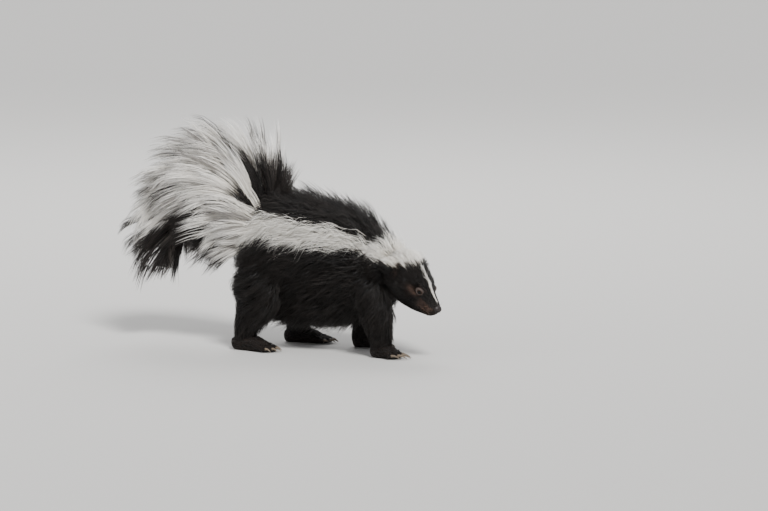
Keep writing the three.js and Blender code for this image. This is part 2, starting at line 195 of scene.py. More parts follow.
class Form:
    """Oval sections [x, y, z, half width, height above, depth below] strung on a smooth curve."""

    def __init__(self, stations, side=(0, 1, 0), matrix=None):
        self.stations = np.array(stations, float)
        self.side = np.array(side, float)
        self.matrix = np.eye(4) if matrix is None else np.array(matrix)
        samples = smooth_row(self.stations, np.linspace(0, 1, 200))[:, :3]
        self.length = np.linalg.norm(np.diff(samples, axis=0), axis=1).sum()

    def point(self, t, angle, grow=0.0):
        """Points of the surface, grown outwards. The angle runs from the top towards the side."""
        t, angle, grow = np.broadcast_arrays(np.asarray(t, float), angle, grow)
        shape = t.shape
        t, angle, grow = t.ravel(), angle.ravel(), grow.ravel()
        values = smooth_row(self.stations, t)
        ahead = smooth_row(self.stations, t + 1e-3)[:, :3] - smooth_row(self.stations, t - 1e-3)[:, :3]
        along = unit(ahead)
        side = unit(self.side - along * (along @ self.side)[:, None])
        top = np.cross(along, side)
        rise = np.cos(angle)
        across = np.sin(angle) * np.maximum(0.05, values[:, 3] + grow)
        height = rise * np.maximum(0.05, np.where(rise > 0, values[:, 4], values[:, 5]) + grow)
        made = values[:, :3] + side * across[:, None] + top * height[:, None]
        beyond = np.where(t > 1, t - 1, np.where(t < 0, t, 0)) * self.length
        made = made + along * beyond[:, None]
        return moved(made, self.matrix).reshape(shape + (3,))

    def mesh(self, rings=48, sides=40):
        """A closed grid of triangles over the form."""
        around = np.arange(sides) / sides * 2 * np.pi
        t, angle = np.meshgrid(np.linspace(0, 1, rings), around, indexing="ij")
        ends = moved(self.stations[[0, -1], :3], self.matrix)
        return np.vstack([self.point(t, angle).reshape(-1, 3), ends]), closed_grid(rings, sides)


# %% [markdown]
# ## The body's stations
# Rump, belly, shoulder and chest are one trunk. The neck leaves it low, because the animal noses
# along the ground. Each station's size goes out to the hair tips, and the coat's depth is taken
# off to find the skin: a skunk in its winter coat is half hair.

# %% Trunk and neck
TRUNK = [
    [-61, 0, 120, 20, 24, 22],
    [-50, 0, 119, 41, 52, 48],
    [-32, 0, 117, 53, 73, 68],
    [-8, 0, 116, 59, 84, 77],
    [20, 0, 115, 60, 85, 80],
    [48, 0, 113, 58, 82, 78],
    [75, 0, 110, 55, 78, 75],
    [100, 0, 106, 51, 73, 69],
    [121, 0, 100, 46, 59, 60],
    [138, -4, 92, 38, 38, 50],
    [150, -8, 85, 30, 27, 40],
    [159, -11, 78, 15, 14, 23],
]
NECK = [
    [104, 0, 112, 42, 56, 42],
    [129, -5, 111, 38, 44, 43],
    [146, -12, 109, 35, 35, 40],
    [161, -17, 106, 31, 29, 33],
]
TRUNK_COAT = (20, 29, 17)  # depth of the coat on the flank, the back and the belly
RUMP_COAT = 24
NECK_COAT = (18, 18, 16)


def under(stations, coat):
    """The skin's stations under a coat."""
    made = np.array(stations, float)
    made[:, 3:] = np.maximum(made[:, 3:] - np.array(coat), 5.0)
    return made


trunk_skin = under(TRUNK, TRUNK_COAT)
trunk_skin[0, 0] += RUMP_COAT
trunk_skin[1, 0] += RUMP_COAT * 0.75
trunk_skin[2, 0] += RUMP_COAT * 0.3
trunk = Form(trunk_skin)
neck = Form(under(NECK, NECK_COAT))
print("trunk length (mm):", round(trunk.length), "neck length (mm):", round(neck.length))

# %% Tail bone with its skin
TAIL = [
    [-30, 0, 132, 15, 13, 13],
    [-43, 0, 163, 13, 12, 12],
    [-57, 1, 190, 12, 11, 11],
    [-80, 2, 206, 11, 10, 10],
    [-107, 3, 199, 9, 9, 9],
    [-130, 3, 178, 8, 8, 8],
    [-147, 2, 148, 6, 6, 6],
    [-156, 1, 123, 3, 3, 3],
]
tail = Form(TAIL, side=(0, -1, 0))
print("tail length (mm):", round(tail.length))

# %% Legs and paws
LEGS = {
    "foreleg_right": [
        [122, -27, 100, 19, 27, 26],
        [128, -37, 77, 18, 28, 24],
        [135, -38, 53, 15.5, 27, 20],
        [141, -36, 31, 12.5, 17, 14.5],
        [141, -34, 13, 11.5, 12.5, 12],
    ],
    "foreleg_left": [
        [112, 27, 100, 19, 26, 26],
        [106, 37, 77, 18, 24, 23],
        [98, 38, 53, 14.5, 19, 18],
        [89, 36, 31, 12, 14, 13.5],
        [87, 34, 13, 11.5, 12, 12],
    ],
    "hindleg_right": [
        [-20, -28, 112, 21, 36, 34],
        [-17, -42, 88, 21, 36, 37],
        [-19, -46, 61, 18, 31, 34],
        [-34, -42, 34, 13.5, 17, 18],
        [-42, -39, 13, 11.5, 12, 12],
    ],
    "hindleg_left": [
        [-14, 28, 112, 21, 36, 34],
        [-4, 42, 88, 21, 36, 36],
        [8, 46, 61, 18, 30, 32],
        [2, 42, 34, 13.5, 17, 18],
        [-5, 39, 13, 11.5, 12, 12],
    ],
}
LEG_COAT = [13, 12, 8.5, 4.5, 2.5]  # depth at each station, from the body down

PAWS = {
    "forepaw_right": dict(heel=(131, -34), length=34, width=12.5, claw=12, turn=-6),
    "forepaw_left": dict(heel=(79, 34), length=34, width=12.5, claw=12, turn=5),
    "hindpaw_right": dict(heel=(-53, -39), length=54, width=12.5, claw=7, turn=-8),
    "hindpaw_left": dict(heel=(-16, 39), length=54, width=12.5, claw=7, turn=7),
}
TOES = 5
TOE_SPREAD = 5.75
TOE_RADIUS = 2.9
TOE_END_HEIGHT = 4.4
CLAW_RADIUS = 1.8
PAW_COAT = 0.9


def turned(x, y, z, yaw=0.0, pitch=0.0, roll=0.0):
    """A placing matrix: moved, then turned about z, y and x, in degrees."""
    return np.array(
        Matrix.Translation((x, y, z))
        @ Matrix.Rotation(math.radians(yaw), 4, "Z")
        @ Matrix.Rotation(math.radians(pitch), 4, "Y")
        @ Matrix.Rotation(math.radians(roll), 4, "X")
    )


def toe_tip(paw, toe):
    """The end of a toe in the paw's frame, the middle toe's the furthest ahead."""
    off = toe - (TOES - 1) / 2
    return np.array([paw["length"] + 6 - 2.1 * off * off, off * TOE_SPREAD, TOE_END_HEIGHT])


def leg_form(name):
    """A leg's skin: its stations less the depth of the coat."""
    stations = np.array(LEGS[name], float)
    stations[:, 3:] -= np.array(LEG_COAT)[:, None]
    return Form(stations)


def paw_forms(name):
    """The foot's body and its five toes."""
    paw = PAWS[name]
    length, width, coat = paw["length"], paw["width"], PAW_COAT
    matrix = turned(*paw["heel"], 0, yaw=paw["turn"])
    body = Form(
        [
            [-3, 0, 7, 4.5, 4, 7],
            [3, 0, 8, 9, 8, 10],
            [length * 0.4, 0, 9, width - 1 - coat, 10, 11],
            [length * 0.7, 0, 7, width - 0.5 - coat, 7.6, 9],
            [length * 0.85, 0, 5, width - 3 - coat, 4.4, 7],
        ],
        matrix=matrix,
    )
    toes = []
    radius = TOE_RADIUS - 0.35
    for toe in range(TOES):
        tip = toe_tip(paw, toe)
        middle = length * 0.6 * 0.45 + tip[0] * 0.55
        toes.append(
            Form(
                [
                    [length * 0.6, tip[1] * 0.8, 6.5, radius, radius, radius],
                    [middle, tip[1] * 0.95, 6.6, radius, radius, radius + 2],
                    [tip[0] - 3.5, tip[1], 4.7, radius, radius, radius + 2],
                    [tip[0], tip[1], TOE_END_HEIGHT, CLAW_RADIUS + 0.2, *[CLAW_RADIUS + 0.3] * 2],
                ],
                matrix=matrix,
            )
        )
    return body, toes


legs = {name: leg_form(name) for name in LEGS}
paws = {name: paw_forms(name) for name in PAWS}
print("legs:", list(legs), "paws:", list(paws))

# %% [markdown]
# ## The head
# A skunk's head is a small wedge: a wide skull, a straight bridge, and a narrow muzzle with a bare
# nose. It is built in its own frame, with x from nape to nose, and then turned down and to the
# right as one. Cheeks, brows, whisker pads and chin are eggs that the skin is drawn over.

# %% Head frame and forms
HEAD_BASE = (160, -18, 117)
HEAD_YAW, HEAD_PITCH = -14, 45
head_matrix = turned(*HEAD_BASE, yaw=HEAD_YAW, pitch=HEAD_PITCH)

SKULL = [
    [-9, 0, -2, 21, 19, 20],
    [1, 0, -1, 27.5, 25.5, 27],
    [14, 0, -1, 29.5, 26, 30],
    [28, 0, -1.5, 28.5, 24, 32],
    [40, 0, -1.5, 24, 21.5, 31.5],
    [50, 0, -2, 18.5, 18.5, 26.5],
    [58, 0, -2, 15, 15, 22.5],
    [66, 0, -2, 12.4, 12.6, 17.5],
    [73, 0, -2, 10.4, 10.6, 12.5],
    [78, 0, -2, 8, 7.8, 7.8],
    [80.5, 0, -2, 3.6, 3.6, 3.6],
]
SKULL_COAT = [10, 10, 9, 7.5, 4.8, 3.0, 2.0, 1.3, 0.9, 0.6, 0.4]
EYE_AT = (50, 13.6, 6.3)
EYE_RADIUS = 4.5
EAR_AT = (12, 25, 3)
EAR_SIZE = (6, 9.5, 11.5)
NOSE_AT = (77.3, 0, 2.2)
NOSE_SIZE = (5.2, 6.2, 4.8)

skull_skin = np.array(SKULL, float)
skull_skin[:, 3:] -= np.array(SKULL_COAT)[:, None]
skull = Form(skull_skin, matrix=head_matrix)


def egg(sizes, matrix, rings=20, sides=28):
    """An ellipsoid's points and triangles, placed by a matrix."""
    down = np.linspace(0, np.pi, rings + 2)[1:-1]
    down, around = np.meshgrid(down, np.arange(sides) / sides * 2 * np.pi, indexing="ij")
    grid = np.stack([np.sin(down) * np.cos(around), np.sin(down) * np.sin(around), np.cos(down)], -1)
    points = np.vstack([grid.reshape(-1, 3), [(0, 0, 1), (0, 0, -1)]]) * np.array(sizes)
    return moved(points, matrix), closed_grid(rings, sides)


def on_head(x, y, z, yaw=0.0, pitch=0.0, roll=0.0):
    """A placing matrix in the head's frame."""
    return head_matrix @ turned(x, y, z, yaw, pitch, roll)


def ear_shell(side):
    """A small round ear: a thin plate, hollowed like a cup that opens forwards and outwards."""
    thick, wide, high = 1.5, EAR_SIZE[1] - 1.0, EAR_SIZE[2] - 1.5
    points, faces = egg((thick, wide, high), np.eye(4), 24, 32)
    hollow = 6.0 * ((points[:, 1] / wide) ** 2 + (points[:, 2] / high) ** 2)
    points[:, 0] += hollow - 4.5
    matrix = on_head(EAR_AT[0], EAR_AT[1] * side, EAR_AT[2]) @ turned(0, 0, 0, roll=-34 * side)
    return moved(points, matrix @ turned(0, 0, 0, yaw=-38 * side)), faces


head_forms = [skull.mesh(60, 48)]
for side in (1, -1):
    head_forms += [
        egg((8.2, 4.6, 4.8), on_head(69, 6.0 * side, -1.5)),  # whisker pad
        egg((9.0, 2.8, 2.2), on_head(49, 11.0 * side, 10.4, yaw=-22 * side, pitch=8)),  # brow
        egg((13.0, 6.0, 9.0), on_head(36, 15.0 * side, -10, yaw=-20 * side)),  # cheek
        ear_shell(side),
    ]
head_forms.append(egg((8.6, 5.4, 4.4), on_head(70, 0, -9.4)))  # chin
print("head forms:", len(head_forms))

# %% [markdown]
# ## One skin
# All forms are joined by a voxel remesh: the skin is drawn anew over them as an even net, so no seam
# is left between the parts. A few rounds of smoothing take out the steps, and the soles are pressed
# flat where they stand on the floor.

# %% Remesh and smooth
SKIN_VOXEL = 1.15  # mm

parts = [trunk.mesh(), neck.mesh(), tail.mesh(60, 28), *head_forms]
for name in LEGS:
    parts.append(legs[name].mesh(30, 32))
for body, toes in paws.values():
    parts += [body.mesh(24, 28), *[toe.mesh(14, 16) for toe in toes]]
all_points, all_faces = merged(parts)
skin = mesh_object("skin", in_frame(all_points), all_faces)
remesh = skin.modifiers.new("remesh", "REMESH")
remesh.mode = "VOXEL"
remesh.voxel_size = SKIN_VOXEL * MM
bpy.context.view_layer.objects.active = skin
skin.select_set(True)
bpy.ops.object.modifier_apply(modifier="remesh")


def mesh_points(obj):
    """The points of a mesh object, in the stations' millimetres."""
    co = np.empty(len(obj.data.vertices) * 3, np.float32)
    obj.data.vertices.foreach_get("co", co)
    return co.reshape(-1, 3).astype(float) / MM - CENTRE_SHIFT


def set_mesh_points(obj, points):
    obj.data.vertices.foreach_set("co", in_frame(points).astype(np.float32).ravel())
    obj.data.update()


def smoothed(obj, points, rounds, strength=0.5):
    """Each point moves towards the middle of its neighbours."""
    edges = np.empty(len(obj.data.edges) * 2, np.int32)
    obj.data.edges.foreach_get("vertices", edges)
    a, b = edges.reshape(-1, 2).T
    count = np.bincount(a, minlength=len(points)) + np.bincount(b, minlength=len(points))
    for _ in range(rounds):
        total = np.stack(
            [
                np.bincount(a, points[b, k], len(points)) + np.bincount(b, points[a, k], len(points))
                for k in range(3)
            ],
            1,
        )
        points = points + strength * (total / count[:, None] - points)
    return points


skin_points = smoothed(skin, mesh_points(skin), 4)
skin_points[:, 2] = np.maximum(skin_points[:, 2], 0.0)
set_mesh_points(skin, skin_points)
print("skin:", len(skin_points), "points,", len(skin.data.polygons), "faces")

# %% [markdown]
# ## Sculpting the face
# The voxel net is too coarse for a mouth, so the face gets a finer net first. Then single lines are
# pressed in or raised: each point near a line moves along its own normal, most at the line itself
# and less further off.

# %% A finer net on the face
to_head = np.linalg.inv(head_matrix)


def in_head(points):
    """Points as the head's frame sees them."""
    return moved(points, to_head)


def refine(obj, chosen):
    """Splits each edge between two chosen points in two, so that the net there is finer."""
    net = bmesh.new()
    net.from_mesh(obj.data)
    net.verts.ensure_lookup_table()
    edges = [e for e in net.edges if chosen[e.verts[0].index] and chosen[e.verts[1].index]]
    bmesh.ops.subdivide_edges(net, edges=edges, cuts=1, use_grid_fill=True)
    bmesh.ops.triangulate(net, faces=[f for f in net.faces if len(f.verts) > 4])
    net.to_mesh(obj.data)
    net.free()
    obj.data.polygons.foreach_set("use_smooth", np.ones(len(obj.data.polygons), bool))
    obj.data.update()


refine(skin, in_head(mesh_points(skin))[:, 0] > 38)
skin_points = mesh_points(skin)
face_part = smoothstep(40, 44, in_head(skin_points)[:, 0])[:, None]
skin_points += face_part * (smoothed(skin, skin_points, 3) - skin_points)
set_mesh_points(skin, skin_points)
print("skin with a finer face:", len(skin_points), "points")


# %% Mouth line
def normals_of(obj):
    """The points' normals of a mesh object."""
    made = np.empty(len(obj.data.vertices) * 3, np.float32)
    obj.data.vertices.foreach_get("normal", made)
    return made.reshape(-1, 3).astype(float)


def far_from_line(points, line):
    """The distance of each point from a bent line."""
    best = np.full(len(points), 1e9)
    for a, b in zip(line[:-1], line[1:]):
        along = b - a
        share = np.clip((points - a) @ along / (along @ along), 0, 1)
        best = np.minimum(best, np.linalg.norm(points - a - share[:, None] * along, axis=1))
    return best


MOUTH = [  # from the lips' middle back to the corner
    [83, 0, -5.4],
    [78, 4.4, -5.9],
    [72, 8.2, -7.0],
    [65, 10.3, -8.2],
    [57, 12.6, -8.6],
    [52, 13.8, -7.6],
]
MOUTH_DEPTH = 1.3
MOUTH_WIDTH = 0.9


def from_mouth(local):
    """The distance of places of the head from the mouth line. Both sides are taken as one."""
    return far_from_line(local * (1, 0, 1) + np.abs(local) * (0, 1, 0), mouth_line)


mouth_line = smooth_row(MOUTH, np.linspace(0, 1, 24))
near = from_mouth(in_head(skin_points))
groove = np.exp(-((near / MOUTH_WIDTH) ** 2))
lips = np.exp(-(((near - 1.9) / 1.0) ** 2))
skin_points += normals_of(skin) * (0.35 * lips - MOUTH_DEPTH * groove)[:, None]
set_mesh_points(skin, skin_points)
painted_mouth_shade = groove  # painted shade: the skin is darkened along the pressed-in mouth line, where shade falls
print("mouth points moved:", int((groove > 0.1).sum()))
skin_tree = BVHTree.FromPolygons(
    [tuple(p) for p in skin_points], [tuple(f.vertices) for f in skin.data.polygons]
)

# %% [markdown]
# ## Markings
# The pattern is one rule used twice: by the skin and by each tuft. A stripe is given by its upper and
# lower edge, as angles from the top of the body, at a few places from the rump to the nape. The left
# stripe lies a little lower over the shoulder, which the turn of the head bares. Over the nape the
# two meet in a white cap, and a thin blaze runs down the face.

# %% The rule for white
AXIS = [
    [-70, 0, 120],
    [-32, 0, 117],
    [20, 0, 115],
    [75, 0, 107],
    [110, -2, 106],
    [140, -8, 107],
    [163, -18, 107],
    [185, -24, 107],
]
STRIPE = [  # x, upper edge, lower edge
    [-64, 22, 76],
    [-46, 29, 70],
    [-14, 35, 64],
    [5, 38, 71],
    [34, 43, 69],
    [53, 41, 67],
    [65, 38, 66],
    [94, 36, 61],
    [104, 38, 56],
    [115, 40, 54],
    [122, 38, 58],
    [129, 32, 63],
    [135, 20, 68],
    [140, -20, 73],
    [168, -20, 74],
    [180, -20, 64],
]
CAP_FRONT = 17.0  # how far the white cap reaches over the crown, in the head's frame
BLAZE = (25.0, 73.0, 2.6, 1.4)  # start, end, half width at the start and at the end
LEFT_BACK, LEFT_UPPER, LEFT_LOWER = 9, 20, 14  # how far the left stripe's edges are moved


def body_angle(points):
    """Degrees from the top, round the line through trunk and neck."""
    axis = np.array(AXIS, float)
    y = np.interp(points[:, 0], axis[:, 0], axis[:, 1])
    z = np.interp(points[:, 0], axis[:, 0], axis[:, 2])
    return np.degrees(np.abs(np.arctan2(points[:, 1] - y, points[:, 2] - z)))


def whiteness(points, soft=4.0):
    """How white the coat is at points of the body, the neck and the head, from 0 to 1."""
    angle = body_angle(points)
    edges = np.array(STRIPE, float)
    left = points[:, 1] > -5
    upper = np.interp(points[:, 0] - LEFT_BACK * left, edges[:, 0], edges[:, 1])
    lower = np.interp(points[:, 0], edges[:, 0], edges[:, 2])
    shoulder = smoothstep(60, 95, points[:, 0]) * smoothstep(148, 140, points[:, 0]) * left
    upper = upper + LEFT_UPPER * shoulder
    lower = lower + LEFT_LOWER * shoulder
    stripe = smoothstep(-soft, soft, angle - upper) * smoothstep(-soft, soft, lower - angle)
    local = in_head(points)
    x, y, z = local[:, 0], np.abs(local[:, 1]), local[:, 2]
    front = CAP_FRONT - 0.35 * np.maximum(0, y - 8)
    cap_edge = 5 + 0.25 * np.maximum(0, x) - 0.6 * np.maximum(0, 6 - x)
    on_crown = smoothstep(-1.5, 1.5, front - x) * smoothstep(0, 5, z - cap_edge)
    white = np.where(x > -12, stripe * on_crown, stripe)
    start, end, wide, thin = BLAZE
    half = np.interp(x, [start, end], [wide, thin])
    blaze = smoothstep(start - 2, start + 1, x) * smoothstep(end + 2, end - 4, x)
    blaze = blaze * smoothstep(-0.8, 0.8, half - y)
    return np.maximum(white, blaze * (z > 0))


# %% [markdown]
# ## Hair from arrays
# Each hair is a thin closed blade of three sides that tapers to a point. Hairs grow in clumps: their
# roots are scattered, and their tips draw together, as real guard hairs do. Arrays make thousands of
# them at once, which loops over single hairs could not do in time.

# %% Blades
LIMIT = 190_000  # triangles in one piece
PATCH = 0.003  # the size of a hair's patch on the map of the skin


def blade_template(segments):
    """The triangles of one blade and its points' places across and along it."""
    faces = [(0, 2, 1)]
    for r in range(segments - 1):
        for j in range(3):
            k = (j + 1) % 3
            a, b, c, d = 3 * r + j, 3 * r + k, 3 * r + 3 + k, 3 * r + 3 + j
            faces += [(a, b, d), (b, c, d)]
    tip, r = 3 * segments, 3 * (segments - 1)
    faces += [(r + j, r + (j + 1) % 3, tip) for j in range(3)]
    across = np.array([0.0, -0.5, 0.5] * segments + [0.0])
    return np.array(faces), across


def blades(path, face, width, flat=0.55):
    """Points of all blades: path is (hairs, steps, 3), face the way their flat side looks."""
    steps = path.shape[1]
    ahead = np.empty_like(path)
    ahead[:, 1:-1] = path[:, 2:] - path[:, :-2]
    ahead[:, 0] = path[:, 1] - path[:, 0]
    ahead[:, -1] = path[:, -1] - path[:, -2]
    ahead = unit(ahead)
    left = unit(np.cross(face[:, None], ahead))
    rise = np.cross(ahead, left)
    s = np.linspace(0, 1, steps)[None, :, None]
    half = 0.5 * width[:, None, None] * (0.62 + 1.15 * s - 1.6 * s * s)
    low = rise * flat * 0.7
    corners = [path + rise * half * flat * 1.3, path + (left - low) * half, path - (left + low) * half]
    ring = np.stack(corners, 2)[:, :-1]
    return np.concatenate([ring.reshape(len(path), -1, 3), path[:, -1:]], 1)


def give(obj, label, values):
    """Writes one value for each point, which the materials read."""
    layer = obj.data.attributes.new(label, "FLOAT", "POINT")
    layer.data.foreach_set("value", values.astype(np.float32))


def coat_piece(name, hair, chosen, material):
    """Builds the chosen hairs as pieces of less than the limit, with their map and attributes."""
    segments = hair["path"].shape[1] - 1
    faces, across = blade_template(segments)
    index = np.flatnonzero(np.broadcast_to(chosen, hair["width"].shape))
    most = LIMIT // len(faces)
    count = max(1, math.ceil(len(index) / most))
    made = []
    for part, own in enumerate(np.array_split(index, count)):
        points = blades(hair["path"][own], hair["face"][own], hair["width"][own])
        each = points.shape[1]
        all_faces = (faces[None] + (np.arange(len(own)) * each)[:, None, None]).reshape(-1, 3)
        title = name if count == 1 else f"{name}_{part + 1}"
        obj = mesh_object(title, in_frame(points.reshape(-1, 3)), all_faces, [material])
        along = np.append(np.repeat(np.arange(segments) / segments, 3), 1.0)
        give(obj, "along", np.tile(along, len(own)))
        give(obj, "shade", np.repeat(hair["shade"][own], each))
        give(obj, "tint", np.repeat(hair["tint"][own], each))
        uv = hair["uv"][own][:, None] + PATCH * np.stack([across, along - 0.5], -1)[None]
        uv = np.clip(uv.reshape(-1, 2), 0, 1)[all_faces.ravel()]
        obj.data.uv_layers.new(name="OFBake").data.foreach_set("uv", uv.astype(np.float32).ravel())
        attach(obj, "root")
        made.append(obj)
        print(title, len(own), "hairs,", len(all_faces), "triangles")
    return made


# %% Roots
def spread(form, count, t_range, rng):
    """Even places (t, angle) over a form, denser where it is thicker."""
    t = np.linspace(*t_range, 64)
    sizes = smooth_row(form.stations, t)[:, 3:]
    girth = np.sqrt(sizes[:, 0] ** 2 + (0.5 * (sizes[:, 1] + sizes[:, 2])) ** 2)
    share = np.concatenate([[0], np.cumsum(0.5 * (girth[1:] + girth[:-1]))])
    n = np.arange(count)
    t = np.interp((0.5 + n * 0.7548776662) % 1, share / share[-1], t)
    angle = 2 * np.pi * ((0.5 + n * 0.5698402910) % 1)
    return t + rng.normal(0, 0.004, count), angle + rng.normal(0, 0.03, count)


NEAR_SKIN, ROOT_DEPTH = 9.0, 0.35  # mm: roots this near are moved to the skin, and sunk this deep


def some(hair, keep):
    """The hairs to keep of a set of hair."""
    return {key: values[keep] for key, values in hair.items()}


def settle(hair, inside=2.5, follow=0.0):
    """Moves each root onto the skin, and drops the hairs whose roots lie deep inside the body."""
    path = hair["path"]
    keep = np.ones(len(path), bool)
    moves = np.zeros((len(path), 3))
    for i, root in enumerate(path[:, 0]):
        place, normal, _, distance = skin_tree.find_nearest(Vector(root))
        if distance > inside and (Vector(root) - place).dot(normal) < 0:
            keep[i] = False
        elif distance < NEAR_SKIN:
            moves[i] = place - Vector(root) - normal * ROOT_DEPTH
    s = np.linspace(0, 1, path.shape[1])[None, :, None]
    path += moves[:, None] * (follow + (1 - follow) * (1 - s) ** 2)
    return some(hair, keep)


def comb(
    form, tips, clumps, each, rng, *, steps=3, t_range=(0.02, 0.98), flow=-1, reach=30.0, down=0.4,
    scatter=2.2, gather=0.55, height=0.92, width=0.8, sway=0.14, rough=0.10, curve=1.8,
):
    """Hairs that lie along a form, from its skin out to its tips.

    reach is a hair's length along the form and down its turn to the side; either may be a function
    of (t, angle). height says how near the tips come to the form of the tips. gather draws the tips
    of a clump together, scatter spreads its roots, and sway and rough vary the clumps.
    """
    t0, a0 = spread(form, clumps, t_range, rng)
    t0, a0 = np.repeat(t0, each), np.repeat(a0, each)
    total = len(t0)

    def per_clump(size):
        return np.repeat(rng.normal(0, size, clumps), each)

    reach_all = reach(t0, a0) if callable(reach) else reach
    reach_all = np.maximum(reach_all * (1 + per_clump(0.12) + rng.normal(0, 0.1, total)), 0.8)
    radius = np.linalg.norm(form.point(t0, a0 + 0.02) - form.point(t0, a0 - 0.02), axis=1) / 0.04
    fall = down(t0, a0) if callable(down) else down
    turn = fall * np.sin(a0) + per_clump(sway) + rng.normal(0, 0.5 * sway, total)
    off_t, off_r = rng.normal(0, scatter, (2, total))
    top = height * (1 + per_clump(rough) - np.abs(rng.normal(0, 1.2 * rough, total)))
    s = np.linspace(0, 1, steps + 1)[None]
    hold = 1 - gather * s
    bend = turn[:, None] * (0.6 + 0.8 * s)
    run = reach_all[:, None] * s
    t = t0[:, None] + (off_t[:, None] * hold + flow * run * np.cos(bend)) / form.length
    angle = a0[:, None] + (off_r[:, None] * hold + run * np.sin(bend)) / np.maximum(radius, 3)[:, None]
    rise = (top[:, None] * (1 - (1 - s) ** curve))[..., None]
    path = form.point(t, angle) * (1 - rise) + tips.point(t, angle) * rise
    face = unit(tips.point(t0, a0) - form.point(t0, a0))
    return {
        "path": path,
        "face": face,
        "width": width * (1 + rng.normal(0, 0.16, total)).clip(0.5, 1.6),
        "uv": np.stack([(a0 / (2 * np.pi)) % 1, np.clip(t0, 0, 1)], 1),
        "shade": np.clip(0.5 + per_clump(0.22) + rng.normal(0, 0.16, total), 0, 1),
        "clump": np.repeat(np.arange(clumps), each),
        "tint": np.zeros(total),
    }


def white_hairs(hair, rng, where=0.7, ragged=0.16):
    """Which hairs are white: the rule is asked where the hair shows, near its tip."""
    path = hair["path"]
    place = where * (path.shape[1] - 1)
    k = int(place)
    seen = path[:, k] + (path[:, min(k + 1, path.shape[1] - 1)] - path[:, k]) * (place - k)
    _, first = np.unique(hair["clump"], return_index=True)
    group = np.zeros(hair["clump"].max() + 1)
    group[hair["clump"][first]] = whiteness(seen[first])
    value = 0.5 * whiteness(seen) + 0.5 * group[hair["clump"]]
    return value + rng.normal(0, ragged, len(value)) * (value > 0.02) > 0.5


def joined(*hairs):
    """Several sets of hair as one. Their clumps keep apart."""
    made = {key: np.concatenate([h[key] for h in hairs]) for key in hairs[0]}
    starts = np.cumsum([0] + [h["clump"].max() + 1 for h in hairs[:-1]])
    made["clump"] = np.concatenate([h["clump"] + start for h, start in zip(hairs, starts)])
    return made


def filled(hair, places, gap, each, rng, far=25):
    """Adds hairs at places of the skin that are further than a gap from any root, like the nearest."""
    tree = KDTree(len(hair["path"]))
    for i, root in enumerate(hair["path"][:, 0]):
        tree.insert(root, i)
    tree.balance()
    new, like = [], []
    taken = set()
    for place in places:
        _, i, distance = tree.find(place)
        cell = tuple((place // gap).astype(int))
        if gap < distance < far and cell not in taken:
            taken.add(cell)
            new.append(place)
            like.append(i)
    new, like = np.repeat(np.array(new), each, 0), np.repeat(like, each)
    more = some(hair, like)
    s = np.linspace(0, 1, hair["path"].shape[1])[None, :, None]
    loose = rng.normal(0, 0.4 * gap, (len(new), 1, 3)) * (0.3 + 0.7 * (1 - s))
    more["path"] = more["path"] - more["path"][:, :1] + new[:, None] + loose
    more["clump"] = np.repeat(np.arange(len(new) // each), each)
    print("hairs added where the skin was bare:", len(new))
    return joined(hair, more)


# %% [markdown]
# ## Shader groups
# Hair, skin and nose share a few effects: the change of colour along a hair and the fine grain of skin.
# Each effect is a node group with named inputs, built once and set for each material. The markings
# come as a value for each point of the skin instead. The shader itself stays in the material.

# %% Group helpers
FLOAT, COLOR, VECTOR = "NodeSocketFloat", "NodeSocketColor", "NodeSocketVector"


def new_group(name, inputs, outputs):
    """An empty shader group with named inputs (label, kind, value) and outputs (label, kind)."""
    tree = bpy.data.node_groups.new(name, "ShaderNodeTree")
    for label, kind, value in inputs:
        tree.interface.new_socket(label, in_out="INPUT", socket_type=kind).default_value = value
    for label, kind in outputs:
        tree.interface.new_socket(label, in_out="OUTPUT", socket_type=kind)
    return tree, tree.nodes.new("NodeGroupInput").outputs, tree.nodes.new("NodeGroupOutput").inputs


def put(tree, kind, inputs=(), **settings):
    """A node with its settings, its inputs given as values or as sockets to link from."""
    made = tree.nodes.new(kind)
    for key, value in settings.items():
        setattr(made, key, value)
    for key, value in dict(inputs).items():
        if isinstance(value, bpy.types.NodeSocket):
            tree.links.new(value, made.inputs[key])
        else:
            made.inputs[key].default_value = value
    return made


def mixed(tree, factor, first, second):
    """A colour mix. Sockets 6 and 7 are the colours of a Mix node in colour mode."""
    return put(tree, "ShaderNodeMix", {0: factor, 6: first, 7: second}, data_type="RGBA").outputs[2]


def step_up(tree, value, low, high):
    """A soft step from 0 to 1 between two values."""
    ends = {"Value": value, "From Min": low, "From Max": high}
    return put(tree, "ShaderNodeMapRange", ends, interpolation_type="SMOOTHSTEP").outputs[0]


def computed(tree, operation, *values):
    """The result of a sum or another operation on values or sockets."""
    return put(tree, "ShaderNodeMath", dict(enumerate(values)), operation=operation).outputs[0]


# %% Hair colour group
def hair_group():
    """Colour along a hair, from root to tip, lighter or darker by hair, with a tint where asked."""
    tree, given, result = new_group(
        "hair colour",
        [
            ("Root", COLOR, (0, 0, 0, 1)),
            ("Tip", COLOR, (0, 0, 0, 1)),
            ("Tinted", COLOR, (0, 0, 0, 1)),
            ("Contrast", FLOAT, 0.3),
            ("Along", FLOAT, 0.5),
            ("Shade", FLOAT, 0.5),
            ("Tint", FLOAT, 0.0),
        ],
        [("Color", COLOR), ("Roughness", FLOAT)],
    )
    base = mixed(tree, computed(tree, "POWER", given["Along"], 1.3), given["Root"], given["Tip"])
    base = mixed(tree, given["Tint"], base, given["Tinted"])
    swing = computed(tree, "MULTIPLY", computed(tree, "SUBTRACT", given["Shade"], 0.5), given["Contrast"])
    bright = computed(tree, "ADD", 1.0, computed(tree, "MULTIPLY", swing, 2.0))
    scaled = put(tree, "ShaderNodeVectorMath", {0: base, "Scale": bright}, operation="SCALE").outputs[0]
    tree.links.new(scaled, result["Color"])
    rough = computed(tree, "MULTIPLY_ADD", given["Shade"], 0.16, 0.36)
    tree.links.new(rough, result["Roughness"])
    return tree


HAIR_COLOUR = hair_group()


